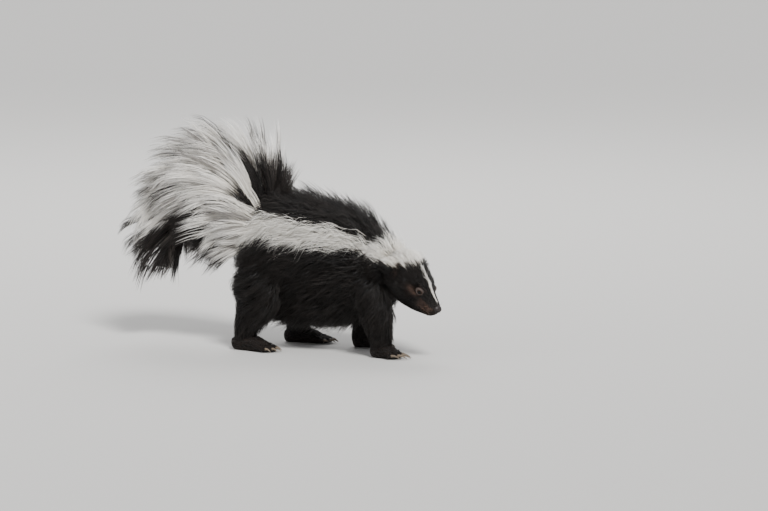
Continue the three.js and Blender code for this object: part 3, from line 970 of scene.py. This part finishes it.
def attribute(tree, name):
    """What `give` wrote for each point."""
    return put(tree, "ShaderNodeAttribute", attribute_name=name).outputs["Fac"]


def new_material(name):
    material = bpy.data.materials.new(name)
    material.use_nodes = True
    tree = material.node_tree
    return material, tree, tree.nodes["Principled BSDF"]


def hair_material(name, root, tip, tinted, contrast, specular):
    """Hair whose colour runs from root to tip."""
    material, tree, shader = new_material(name)
    group = put(tree, "ShaderNodeGroup", node_tree=HAIR_COLOUR)
    for label, value in (("Root", root), ("Tip", tip), ("Tinted", tinted)):
        group.inputs[label].default_value = (*value, 1)
    group.inputs["Contrast"].default_value = contrast
    for label in ("Along", "Shade", "Tint"):
        tree.links.new(attribute(tree, label.lower()), group.inputs[label])
    tree.links.new(group.outputs["Color"], shader.inputs["Base Color"])
    tree.links.new(group.outputs["Roughness"], shader.inputs["Roughness"])
    shader.inputs["Specular IOR Level"].default_value = specular
    return material


BLACK_HAIR = hair_material(
    "black hair", (0.004, 0.0035, 0.003), (0.016, 0.0125, 0.0105), (0.110, 0.066, 0.048), 0.85, 0.35
)
WHITE_HAIR = hair_material(
    "white hair", (0.74, 0.69, 0.60), (0.97, 0.95, 0.90), (0.60, 0.56, 0.50), 0.10, 0.3
)
TAIL_WHITE = hair_material(
    "white tail hair", (0.70, 0.65, 0.56), (0.95, 0.93, 0.90), (0.13, 0.115, 0.105), 0.22, 0.4
)
TAIL_BLACK = hair_material(
    "black tail hair", (0.006, 0.005, 0.0045), (0.017, 0.013, 0.011), (0.10, 0.085, 0.075), 0.8, 0.36
)
print("hair materials made")


# %% Skin, lids, nose and claws
def grain_group():
    """Fine grain of skin or horn: a height and a mask, from two sizes of noise."""
    tree, given, result = new_group(
        "fine grain",
        [("Scale", FLOAT, 900.0), ("Stretch", VECTOR, (1, 1, 1)), ("Coarse share", FLOAT, 0.4)],
        [("Height", FLOAT), ("Mask", FLOAT)],
    )
    place = {0: put(tree, "ShaderNodeTexCoord").outputs["Object"], 1: given["Stretch"]}
    place = put(tree, "ShaderNodeVectorMath", place, operation="MULTIPLY").outputs[0]
    fine = put(tree, "ShaderNodeTexVoronoi", {"Vector": place, "Scale": given["Scale"]}).outputs["Distance"]
    wide_scale = computed(tree, "MULTIPLY", given["Scale"], 0.22)
    wide = {"Vector": place, "Scale": wide_scale, "Detail": 4.0}
    wide = put(tree, "ShaderNodeTexNoise", wide).outputs["Fac"]
    mix = {0: given["Coarse share"], 2: fine, 3: wide}
    mix = put(tree, "ShaderNodeMix", mix, data_type="FLOAT").outputs[0]
    tree.links.new(mix, result["Height"])
    tree.links.new(wide, result["Mask"])
    return tree


FINE_GRAIN = grain_group()


def grainy_material(name, dark, light, scale, depth, roughness, specular, stretch=(1, 1, 1)):
    """A material of two colours in fine grain, with its bump. Returns what else may be linked."""
    material, tree, shader = new_material(name)
    grain = put(tree, "ShaderNodeGroup", node_tree=FINE_GRAIN)
    grain.inputs["Scale"].default_value = scale
    grain.inputs["Stretch"].default_value = stretch
    colour = mixed(tree, grain.outputs["Mask"], (*dark, 1), (*light, 1))
    bump = {"Height": grain.outputs["Height"], "Distance": depth, "Strength": 0.6}
    bump = put(tree, "ShaderNodeBump", bump)
    tree.links.new(bump.outputs[0], shader.inputs["Normal"])
    tree.links.new(colour, shader.inputs["Base Color"])
    shader.inputs["Roughness"].default_value = roughness
    shader.inputs["Specular IOR Level"].default_value = specular
    return material, tree, shader, colour


NOSE_SKIN, *_ = grainy_material(
    "nose skin", (0.010, 0.008, 0.008), (0.028, 0.021, 0.019), 2200, 0.0002, 0.42, 0.28
)
LID_SKIN, *_ = grainy_material(
    "lid skin", (0.032, 0.024, 0.021), (0.080, 0.060, 0.051), 2600, 0.0002, 0.5, 0.25
)
CLAW_HORN, *_ = grainy_material(
    "claw horn", (0.055, 0.042, 0.030), (0.22, 0.17, 0.12), 700, 0.0001, 0.34, 0.5, (0.25, 1, 1)
)
SKIN, nodes, skin_shader, skin_colour = grainy_material(
    "skin", (0.008, 0.006, 0.005), (0.020, 0.0145, 0.012), 1400, 0.0003, 0.65, 0.12
)
pale = mixed(nodes, attribute(nodes, "light"), skin_colour, (0.42, 0.36, 0.31, 1))
# painted shade: the skin is darkened to near black along the pressed-in mouth line
mouth_crease_shade = mixed(nodes, attribute(nodes, "groove"), pale, (0.006, 0.004, 0.004, 1))
nodes.links.new(mouth_crease_shade, skin_shader.inputs["Base Color"])
print("skin materials made")

# %% Skin as a piece
skin.data.materials.append(SKIN)
white_skin = whiteness(skin_points + normals_of(skin) * 8.0)
on_tail = (skin_points[:, 0] < -38) & (skin_points[:, 2] > 150)
white_skin[on_tail] = 0.0
give(skin, "light", white_skin)
# the painted shade of the mouth line, for the skin material
give(skin, "groove", painted_mouth_shade)
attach(skin, "root")
flesh = ["torso", "neck", "tail", "head", "ear_left", "ear_right", *LEGS, *PAWS]
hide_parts(*flesh)
print("skin stands for:", len(flesh), "nodes")

# %% [markdown]
# ## Eyes, nose, claws
# Hard and wet parts stay separate from the skin. The eye is a dark ball with a clear wet coat, set
# between two lids. The nose is an egg whose points are pressed in at the nostrils. A claw is a
# tapering curve.


# %% Eyes and lids
def eye_material():
    """A dark brown iris round a black pupil, both under a wet surface."""
    material, tree, shader = new_material("eye")
    radius = attribute(tree, "radius")
    streaks = put(tree, "ShaderNodeTexNoise", {"Scale": 2600.0, "Detail": 3.0}).outputs["Fac"]
    iris = mixed(tree, streaks, (0.008, 0.004, 0.002, 1), (0.036, 0.017, 0.008, 1))
    pupil = step_up(tree, radius, 0.46, 0.54)
    rim = step_up(tree, radius, 0.80, 0.95)
    colour = mixed(tree, pupil, (0.002, 0.002, 0.002, 1), iris)
    colour = mixed(tree, rim, colour, (0.004, 0.003, 0.003, 1))
    tree.links.new(colour, shader.inputs["Base Color"])
    shader.inputs["Roughness"].default_value = 0.2
    shader.inputs["Specular IOR Level"].default_value = 0.06
    shader.inputs["Coat Weight"].default_value = 0.2
    shader.inputs["Coat Roughness"].default_value = 0.03
    return material


EYE = eye_material()
EYE_TURN = 62  # degrees from straight ahead to the way an eye looks
LID_WIDE, LID_HIGH = 3.9, 3.0  # half sizes of the opening


def eye_frame(side):
    """The frame of one eye: x runs out through the pupil."""
    return on_head(EYE_AT[0], EYE_AT[1] * side, EYE_AT[2], yaw=EYE_TURN * side, pitch=-6)


def lid_ring(side, around=56):
    """Upper and lower lid as one rounded rim over the ball, its outer edge sunk in the skin."""
    matrix = eye_frame(side)
    turn = np.arange(around) / around * 2 * np.pi
    profile = [  # share of the way out, height above the ball
        (0.90, -0.9),
        (0.92, 0.15),
        (1.02, 0.60),
        (1.18, 0.70),
        (1.45, 0.10),
        (1.70, -1.4),
        (1.30, -1.6),
    ]
    rings = []
    for share, lift in profile:
        y = LID_WIDE * share * np.cos(turn)
        z = LID_HIGH * share * np.sin(turn) * np.where(np.sin(turn) > 0, 1.0, 0.92)
        out = np.sqrt(np.maximum(EYE_RADIUS**2 - y**2 - z**2, 0.0))
        ball = np.stack([out, y, z], 1)
        rings.append(ball + unit(np.stack([out + 1.0, y, z], 1)) * lift)
    points = np.concatenate(rings)
    faces = []
    for r in range(len(profile)):
        n = (r + 1) % len(profile)
        for s in range(around):
            m = (s + 1) % around
            faces.append((r * around + s, n * around + s, n * around + m, r * around + m))
    return moved(points, matrix), faces


for side_name, side in (("left", 1), ("right", -1)):
    points, faces = egg((EYE_RADIUS,) * 3, np.eye(4), 36, 48)
    radius = np.linalg.norm(points[:, 1:], axis=1) / EYE_RADIUS
    radius[points[:, 0] < 0] = 1.0
    points = moved(points, eye_frame(side))
    ball = mesh_object(f"eyeball_{side_name}", in_frame(points), faces, [EYE])
    give(ball, "radius", radius)
    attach(ball, "root")
    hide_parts(f"eye_{side_name}")
    points, faces = lid_ring(side)
    lids = mesh_object(f"lids_{side_name}", in_frame(points), faces, [LID_SKIN])
    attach(lids, "root")
print("eyes made, opening (mm):", 2 * LID_WIDE, 2 * LID_HIGH)

# %% Nose
NOSTRIL = (4.6, 3.2, -0.3)  # ahead, aside and above the nose's middle
points, faces = egg(NOSE_SIZE, np.eye(4), 56, 72)
aside = np.abs(points[:, 1])
pit = np.exp(-(((aside - NOSTRIL[1]) / 1.25) ** 2) - ((points[:, 2] - NOSTRIL[2]) / 1.05) ** 2)
slit = np.exp(-(((aside - 5.0) / 1.5) ** 2) - ((points[:, 2] + 1.3) / 0.6) ** 2)
groove = np.exp(-((points[:, 1] / 0.45) ** 2)) * smoothstep(1.5, -1.0, points[:, 2])
front = smoothstep(0.0, 2.5, points[:, 0])
points[:, 0] -= front * (2.3 * pit + 1.0 * slit + 0.55 * groove)
rim = np.exp(-(((np.hypot(aside - NOSTRIL[1], points[:, 2] - NOSTRIL[2]) - 1.9) / 0.7) ** 2))
points += unit(points) * (0.25 * rim * front)[:, None]
points = moved(points, on_head(*NOSE_AT))
nose = mesh_object("nose_pad", in_frame(points), faces, [NOSE_SKIN])
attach(nose, "root")
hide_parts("nose")

# %% Claws
for paw_name, paw in PAWS.items():
    matrix = turned(*paw["heel"], 0, yaw=paw["turn"])
    parts = []
    for toe in range(TOES):
        tip = toe_tip(paw, toe)
        s = np.linspace(0, 1, 7)
        radius = CLAW_RADIUS + (0.25 - CLAW_RADIUS) * s**1.3
        x = tip[0] - 1.5 + (paw["claw"] + 1.8) * s
        z = TOE_END_HEIGHT + 0.9 * np.sin(np.pi * s) - 2.9 * s**2
        line = np.stack([x, np.full(7, tip[1]), z, radius * 0.72, radius, radius], 1)
        parts.append(Form(line, matrix=matrix).mesh(20, 14))
    all_points, all_faces = merged(parts)
    claws = mesh_object(f"claws_{paw_name}", in_frame(all_points), all_faces, [CLAW_HORN])
    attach(claws, "root")
    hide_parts(*[f"claw_{paw_name}_{toe + 1}" for toe in range(TOES)])
print("nose and claws made")

# %% [markdown]
# ## The coat
# Each region is combed with its own length, lie and thickness: long over the back, short on the legs,
# finest on the face. A hair is white or black by the rule for markings, asked near its tip, where it
# shows. Black and white hairs become separate pieces, since they are two finishes.

# %% Body
rng = np.random.default_rng(11)


def body_reach(t, angle):
    """Longest behind the rump, shorter on top of the back and at the chest."""
    return np.interp(t, [0, 0.12, 0.3, 0.8, 1], [50, 42, 33, 27, 22]) * (1 - 0.12 * np.cos(angle))


def body_fall(t, angle):
    """How far the hair turns down the flank: most on the haunch, least at the shoulder."""
    return np.interp(t, [0, 0.35, 0.7, 1], [0.55, 0.45, 0.22, 0.15])


trunk_hair = comb(
    trunk, Form(TRUNK), 3250, 8, rng, reach=body_reach, down=body_fall, scatter=3.0, gather=0.66,
    height=1.08, width=0.82, sway=0.16, rough=0.14, curve=1.5,
)
trunk_hair = settle(trunk_hair)


def hanging(hair, most, top, rng):
    """Lets the hair of the underside hang, each hair by its own length."""
    s = np.linspace(0, 1, hair["path"].shape[1])[None]
    low = smoothstep(top, top - 28, hair["path"][:, 0, 2]) * rng.uniform(0.15, 1.0, len(hair["width"]))
    hair["path"][:, :, 2] -= most * low[:, None] * s**1.4
    return hair


trunk_hair = hanging(trunk_hair, 17, 88, rng)
neck_hair = comb(
    neck, Form(NECK), 850, 8, rng, t_range=(0.2, 1.0), reach=22, down=0.2, width=0.75, height=1.05,
    curve=1.5,
)
neck_hair = settle(neck_hair, inside=4)
print("hairs on trunk and neck:", len(trunk_hair["width"]), len(neck_hair["width"]))

# %% Nape and cheeks
skull_tips = Form(SKULL, matrix=head_matrix)


def head_reach(t, angle):
    """Short at the nose, longer over the crown, longest on the cheeks."""
    length = np.interp(t, [0.0, 0.15, 0.3, 0.5, 0.7, 1.0], [32, 23, 13, 8.5, 4.5, 2.0])
    return length * (1 - 0.2 * np.cos(angle))


def bent(hair, toward):
    """Moves the tips of the nape's hair by a vector, but not the roots."""
    s = np.linspace(0, 1, hair["path"].shape[1])[None, :, None]
    behind = smoothstep(22, 2, in_head(hair["path"][:, 0])[:, 0])[:, None, None]
    hair["path"] += np.array(toward, float) * behind * s * s
    return hair


nape_hair = comb(
    skull, skull_tips, 1000, 7, rng, t_range=(0.0, 0.40), reach=head_reach, down=0.3, scatter=1.6,
    width=0.58, height=1.0,
)
nape_hair = bent(settle(nape_hair, inside=5, follow=0.6), (-5, 0, -3))
print("hairs on the nape:", len(nape_hair["width"]))


# %% Legs
def leg_reach(t, angle):
    """Long and shaggy where the leg leaves the body, short above the paw."""
    return np.interp(t, [0, 0.5, 1], [30, 20, 6])


def leg_fall(t, angle):
    """The hair of the upper leg sweeps to the rear."""
    return np.interp(t, [0, 0.6, 1], [0.7, 0.35, 0.0])


leg_hair = []
for name in LEGS:
    hair = comb(
        legs[name], Form(LEGS[name]), 500, 7, rng, flow=1, t_range=(0.05, 0.99), reach=leg_reach,
        down=leg_fall, width=0.72, scatter=2.2, gather=0.66, height=1.04, rough=0.2, curve=1.5,
    )
    leg_hair.append(hanging(settle(hair), 10, 78, rng))
print("hairs on each leg:", [len(hair["width"]) for hair in leg_hair])


# %% Full cover
def column(hair, k, across=4):
    """Gives a set of hair a column of the map of its own."""
    hair["uv"] = hair["uv"] * (1 / across, 1) + (k / across, 0)
    return hair


long_hair = joined(
    column(trunk_hair, 0),
    column(joined(neck_hair, nape_hair), 1),
    column(joined(*leg_hair[:2]), 2),
    column(joined(*leg_hair[2:]), 3),
)
coated = (skin_points[:, 2] > 22) & (in_head(skin_points)[:, 0] < 30) & ~on_tail
long_hair = filled(long_hair, skin_points[coated], 3.2, 4, rng)
long_hair["path"][:, :, 2] = np.maximum(long_hair["path"][:, :, 2], 6.0)


def eye_clear(local, room):
    """True where a place of the head is further than a room from both eyes."""
    keep = np.ones(len(local), bool)
    for side in (1, -1):
        centre = np.array([EYE_AT[0], EYE_AT[1] * side, EYE_AT[2]])
        keep &= np.linalg.norm(local - centre, axis=1) > room
    return keep


long_hair = some(long_hair, eye_clear(in_head(long_hair["path"][:, 0]), 8.0))
body_white = white_hairs(long_hair, rng, ragged=0.10)
thinned = np.arange(len(body_white)) % 14 > 0  # leaves out some hairs, to keep the coat light
coat = coat_piece("coat_body_black", long_hair, ~body_white & thinned, BLACK_HAIR)
coat += coat_piece("coat_body_white", long_hair, body_white, WHITE_HAIR)

# %% Face
face_hair = comb(
    skull, skull_tips, 2500, 6, rng, steps=2, t_range=(0.34, 0.995), reach=head_reach, down=0.3,
    scatter=0.8, width=0.36, gather=0.4, height=0.9,
)
face_hair = settle(face_hair, inside=8, follow=1.0)


def open_face(hair):
    """Leaves the eyes, the nose and the mouth free of roots."""
    local = in_head(hair["path"][:, 0])
    return some(hair, (local[:, 0] < 77.5) & eye_clear(local, 4.9) & (from_mouth(local) > 0.9))


def muzzle_tint(points):
    """Brown on the sides of the muzzle and, more faintly, round the eye."""
    local = in_head(points)
    x, y, z = local[:, 0], np.abs(local[:, 1]), local[:, 2]
    side = smoothstep(57, 66, x) * smoothstep(1.5, 5, y)
    side = side * smoothstep(3, -1, z) * smoothstep(-11, -6, z)
    ring = np.hypot(x - EYE_AT[0], z - EYE_AT[2])
    eye = smoothstep(8.5, 6.0, ring) * smoothstep(9, 3, z) * (y > 8)
    return np.clip(0.9 * side + 0.55 * eye, 0, 1)


face_hair = open_face(face_hair)
face_white = white_hairs(face_hair, rng, where=0.6)
face_hair["tint"] = muzzle_tint(face_hair["path"][:, 0])
face_hair["tint"] *= (1 + rng.normal(0, 0.3, len(face_white))).clip(0, 1.4)
coat += coat_piece("coat_face_black", face_hair, ~face_white, BLACK_HAIR)
coat += coat_piece("coat_face_white", face_hair, face_white, WHITE_HAIR)

# %% Paws
paw_hair = []
for k, name in enumerate(PAWS):
    body, toes = paws[name]
    for j, form in enumerate([body, *toes]):
        tips = Form(form.stations + (0, 0, 0, 1.6, 1.6, 0), matrix=form.matrix)
        clumps, reach = (230, 6.5) if j == 0 else (50, 4.2)
        hair = comb(
            form, tips, clumps, 6, rng, steps=2, flow=1, t_range=(0.02, 0.97), reach=reach, down=0.0,
            width=0.5, scatter=0.9, height=0.9,
        )
        hair = settle(hair, inside=1.6, follow=1.0)
        hair = some(hair, hair["path"][:, :, 2].min(1) > 1.0)
        hair["uv"] = hair["uv"] * (0.25, 1 / 6) + (0.25 * k, j / 6)
        paw_hair.append(hair)
paw_hair = joined(*paw_hair)
thinned = np.arange(len(paw_hair["width"])) % 3 > 0  # leaves out one hair in three
coat += coat_piece("coat_paws", paw_hair, thinned, BLACK_HAIR)


# %% Ears
def ear_hairs(side, count, rng):
    """Short hair on both faces of an ear, lying towards its rim."""
    points, faces = ear_shell(side)
    faces = np.array(faces)
    a, b, c = points[faces[:, 0]], points[faces[:, 1]], points[faces[:, 2]]
    area = np.linalg.norm(np.cross(b - a, c - a), axis=1)
    own = rng.choice(len(faces), count, p=area / area.sum())
    u, v = np.sort(rng.random((2, count)), axis=0)
    root = a[own] * u[:, None] + b[own] * (v - u)[:, None] + c[own] * (1 - v)[:, None]
    normal = unit(np.cross(b - a, c - a))[own]
    outward = unit(root - points.mean(0))
    outward = outward - normal * np.sum(outward * normal, 1)[:, None]
    lie = unit(outward + rng.normal(0, 0.25, (count, 3)))
    length = rng.uniform(2.6, 5.2, count)
    s = np.linspace(0, 1, 3)[None, :, None]
    path = root[:, None] + lie[:, None] * length[:, None, None] * s
    path = path + normal[:, None] * (1.5 * s - 0.5 * s**2) * length[:, None, None] * 0.35
    local = (in_head(root) - np.array(EAR_AT) * (1, side, 1)) / 40 + 0.5
    return {
        "path": path,
        "face": normal,
        "width": np.full(count, 0.38),
        "uv": local[:, 1:] * (0.5, 1) + (0.0 if side > 0 else 0.5, 0),
        "shade": rng.uniform(0.2, 0.9, count),
        "clump": np.arange(count),
        "tint": rng.uniform(0, 0.3, count),
    }


ear_hair = joined(*[ear_hairs(side, 1100, rng) for side in (1, -1)])
coat += coat_piece("coat_ears", ear_hair, True, BLACK_HAIR)

# %% Whiskers
WHISKERS = 22
side = np.where(np.arange(WHISKERS) % 2, 1, -1)
ahead = rng.uniform(64, 73, WHISKERS)
aside = side * rng.uniform(7.5, 9.5, WHISKERS)
root = np.stack([ahead, aside, rng.uniform(-4, 1.5, WHISKERS)], 1)
back = rng.uniform(-0.9, 0.1, WHISKERS)
way = unit(np.stack([back, side * 1.0, rng.uniform(-0.35, 0.35, WHISKERS)], 1))
length = rng.uniform(12, 22, WHISKERS)[:, None, None]
s = np.linspace(0, 1, 5)[None, :, None]
path = root[:, None] + way[:, None] * length * s + np.array([-0.25, 0, -0.2]) * length * s * s
path = moved(path, head_matrix)
whisker_hair = {
    "path": path,
    "face": np.tile(head_matrix[:3, 2], (WHISKERS, 1)),
    "width": np.full(WHISKERS, 0.22),
    "uv": np.stack([0.25 + 0.5 * (side > 0), np.linspace(0.3, 0.6, WHISKERS)], 1),
    "shade": rng.uniform(0.3, 0.8, WHISKERS),
    "clump": np.arange(WHISKERS),
    "tint": np.zeros(WHISKERS),
}
whisker_hair = settle(whisker_hair, inside=5, follow=1.0)
coat += coat_piece("whiskers", whisker_hair, True, BLACK_HAIR)

# %% [markdown]
# ## The tail's plume
# The tail's hair is the longest, up to 10 cm, and makes the animal's outline. It leaves the bone in a
# fan: upwards from the outer side, straight back from the flanks, downwards from the inner side.
# Each lock turns evenly from its root's way to its tip's, as long hair does that bends under its own
# weight. It is built as locks of clumps of hairs, because a real plume parts at all three sizes.

# %% The lie of the tail's hair
FAN = [  # degrees above straight back, root and tip: outer side, flank, inner side; then the length
    [126, 104, 0, -40, -15, -48, 60],
    [108, 78, 24, -36, -18, -48, 92],
    [92, 22, 40, -28, -25, -52, 102],
    [58, -24, 14, -40, -32, -56, 92],
    [28, -38, -10, -46, -42, -62, 84],
    [0, -48, -30, -52, -50, -66, 78],
    [-22, -54, -42, -58, -52, -70, 74],
    [-36, -60, -46, -62, -54, -72, 68],
]


def fan_lie(t, angle):
    """Pitch at root and tip, and length, of the tail's locks."""
    fan = smooth_row(FAN, t)
    outer = np.cos(angle)
    ends = np.where((outer > 0)[:, None], fan[:, 0:2], fan[:, 4:6])
    pitch = fan[:, 2:4] + (ends - fan[:, 2:4]) * np.abs(outer)[:, None] ** 1.3
    return pitch, fan[:, 6] * np.where(outer < 0, 1 + 0.2 * outer, 1)


def plume_hairs(form, lock_t, lock_a, pitch, length, clumps, each, rng, aside=0.23, puff=12, steps=5):
    """Long hair in pointed locks of a few clumps, with a pitch and a length for each lock.

    aside and puff move the locks outwards, aside only those of the flanks.
    """
    locks = len(lock_t)
    total = locks * clumps * each
    size = 214 / form.length  # the spreads were set on the tail, which is 214 mm long

    def shared(size, groups):
        return np.repeat(rng.normal(0, size, groups), total // groups)

    t_lock, a_lock = np.repeat(lock_t, total // locks), np.repeat(lock_a, total // locks)
    t_clump = t_lock + shared(0.022 * size, locks * clumps)
    a_clump = a_lock + shared(0.20 if form is tail else 0.07, locks * clumps)
    t_all = t_clump + rng.normal(0, 0.009 * size, total)
    a_all = a_clump + rng.normal(0, 0.09 if form is tail else 0.03, total)
    flank = np.abs(np.sin(a_lock))
    pitch = np.repeat(pitch, total // locks, 0)
    pitch = pitch + (shared(6, locks) + shared(4, locks * clumps) + rng.normal(0, 1.5, total))[:, None]
    pitch[:, 1] += shared(9, locks)
    length = np.repeat(length, total // locks)
    uneven = shared(0.11, locks) + shared(0.06, locks * clumps) - np.abs(rng.normal(0, 0.12, total))
    length = length * (1 + uneven)
    s = np.linspace(0, 1, steps + 1)
    middle = 0.5 * (s[1:] + s[:-1])
    turn = np.radians(pitch[:, :1] + (pitch[:, 1:] - pitch[:, :1]) * middle)
    run = np.stack([-np.cos(turn), 0 * turn, np.sin(turn)], -1) * (length / steps)[:, None, None]
    run = np.concatenate([np.zeros((total, 1, 3)), np.cumsum(run, 1)], 1)
    root, clump_root, lock_root = (
        form.point(t, a) for t, a in ((t_all, a_all), (t_clump, a_clump), (t_lock, a_lock))
    )
    out = unit(form.point(t_lock, a_lock, 1.0) - lock_root)
    s = s[None, :, None]
    outwards = (aside * flank * length)[:, None, None] * (2 * s - s * s) + puff * s * (1 - 0.4 * s)
    path = root[:, None] + run + out[:, None] * outwards
    path += (clump_root - root)[:, None] * 0.8 * s + (lock_root - clump_root)[:, None] * 0.75 * s**1.4
    wave = np.stack([shared(1, locks) for _ in range(3)], 1) * 2.6
    path += wave[:, None] * np.sin(np.pi * s) + rng.normal(0, 0.9, (total, 1, 3)) * s
    width = 0.85 * (1 + rng.normal(0, 0.15, total)).clip(0.5, 1.5)
    shade = 0.5 + shared(0.14, locks) + shared(0.14, locks * clumps) + rng.normal(0, 0.18, total)
    return {
        "path": path,
        "face": out,
        "width": width,
        "uv": np.stack([(a_all / (2 * np.pi)) % 1, np.clip(t_all, 0, 1)], 1),
        "shade": np.clip(shade, 0, 1),
        "clump": np.repeat(np.arange(locks * clumps), each),
        "tint": np.zeros(total),
        "t": t_lock,
        "angle": np.degrees(np.abs((a_lock + np.pi) % (2 * np.pi) - np.pi)),
        "lock": np.repeat(np.arange(locks), total // locks),
    }


# %% Plume and base
PLUME, BASE, BRIDGE, UNDER = 255, 30, 56, 34  # locks
lock_t, lock_a = spread(tail, PLUME, (0.0, 0.985), rng)
plume = plume_hairs(tail, lock_t, lock_a, *fan_lie(lock_t, lock_a), 5, 11, rng)
base_t = rng.uniform(0.0, 0.13, BASE)
base_a = rng.normal(0, 0.6, BASE)
base = plume_hairs(tail, base_t, base_a, *fan_lie(base_t, base_a), 5, 10, rng)
base["lock"] += PLUME
print("hairs in the plume and at its base:", len(plume["width"]), len(base["width"]))

# %% [markdown]
# The rump's white stripe runs on into the plume with no step. Locks of the same kind, rooted in the
# stripe, bridge the two: the upper ones rise with the fan, the lower ones run back and down. A few
# dark locks hang below the tail.

# %% Bridge and underside
rise = rng.uniform(0, 1, BRIDGE)  # 0 at the stripe's lower edge, 1 at its upper edge
rump_t = rng.uniform(0.03, 0.26, BRIDGE)
rump_a = np.radians(64 - 36 * rise) * np.where(np.arange(BRIDGE) % 2, 1, -1)
pitch = np.stack([-4 + 74 * rise**1.6, -30 + 46 * rise**1.3], 1)
length = 64 + 38 * rise + 60 * (rump_t - 0.1)
bridge = plume_hairs(trunk, rump_t, rump_a, pitch, length, 5, 10, rng, aside=0.05, puff=9)
bridge["lock"] += PLUME + BASE
bridge["t"][:] = 0.3
bridge["angle"][:] = 90.0

below_t = rng.uniform(0.03, 0.6, UNDER)
below_a = np.pi + rng.normal(0, 0.75, UNDER)
pitch = np.stack([-16 - 20 * below_t, -52 - 22 * below_t], 1)
below = plume_hairs(tail, below_t, below_a, pitch, np.full(UNDER, 74.0), 5, 8, rng, puff=4)
below["lock"] += PLUME + BASE + BRIDGE
below["angle"][:] = 180.0
tail_hair = joined(*[column(part, 0, 2) for part in (plume, base, below)], column(bridge, 1, 2))
tail_hair = settle(tail_hair, inside=5.0)
print("hairs in the tail:", len(tail_hair["width"]))


# %% Longest wisps
def eased(values, edge, room):
    """Brings what passes an edge softly back to less than the room beyond it."""
    past = np.maximum(0, values - edge)
    return values - past + room * (1 - np.exp(-past / room))


BACK_EDGE, BACK_ROOM = 205, 29  # mm behind, so that the plume stays near the solids
TOP_EDGE, TOP_ROOM = 278, 22  # mm above the floor
tail_hair["path"][:, :, 0] = -eased(-tail_hair["path"][:, :, 0], BACK_EDGE, BACK_ROOM)
tail_hair["path"][:, :, 2] = eased(tail_hair["path"][:, :, 2], TOP_EDGE, TOP_ROOM)
print("highest wisp (mm):", round(tail_hair["path"][:, :, 2].max()))

# %% [markdown]
# The plume is white on its flanks. It is black on top at its base, along some locks of its ridge, on
# its inner side and at its end. Single clumps of the other shade are strewn in.

# %% Black and white in the tail
t_tail, around = tail_hair["t"], tail_hair["angle"]
lock_chance = rng.random(PLUME + BASE + BRIDGE + UNDER)[tail_hair["lock"]]
clump_chance = rng.random(tail_hair["clump"].max() + 1)[tail_hair["clump"]]
top_black = np.where(t_tail < 0.12, 64, np.where(lock_chance < 0.25, 24, 0))
low_black = 112 - 22 * smoothstep(0.55, 0.95, t_tail) + 14 * (lock_chance - 0.5)
tip_black = t_tail > 0.80 + 0.14 * (lock_chance - 0.5)
tail_white = (around > top_black) & (around < low_black) & ~tip_black & (clump_chance > 0.08)
tail_hair["tint"] = np.where(clump_chance > 0.86, 0.75, 0.0) * tail_white
tail_hair["tint"] += np.where(clump_chance > 0.80, 0.6, 0.0) * ~tail_white
coat += coat_piece("coat_tail_white", tail_hair, tail_white, TAIL_WHITE)
coat += coat_piece("coat_tail_black", tail_hair, ~tail_white, TAIL_BLACK)

# %% [markdown]
# ## Floor and triangle count
# The floor is plain and light, so that the dark coat stands out from it. At the end the number of the
# coat's triangles is printed. The coat may pass them by only a little.

# %% Floor finish
floor_material, floor_tree, floor_shader = new_material("studio floor")
floor_noise = put(floor_tree, "ShaderNodeTexNoise", {"Scale": 3.0, "Detail": 2.0}).outputs["Fac"]
floor_tree.links.new(
    mixed(floor_tree, floor_noise, (0.52, 0.51, 0.49, 1), (0.55, 0.54, 0.52, 1)),
    floor_shader.inputs["Base Color"],
)
floor_shader.inputs["Roughness"].default_value = 0.9
floor.data.materials.append(floor_material)

# %% Close
print("coat triangles:", sum(len(o.data.polygons) for o in coat))
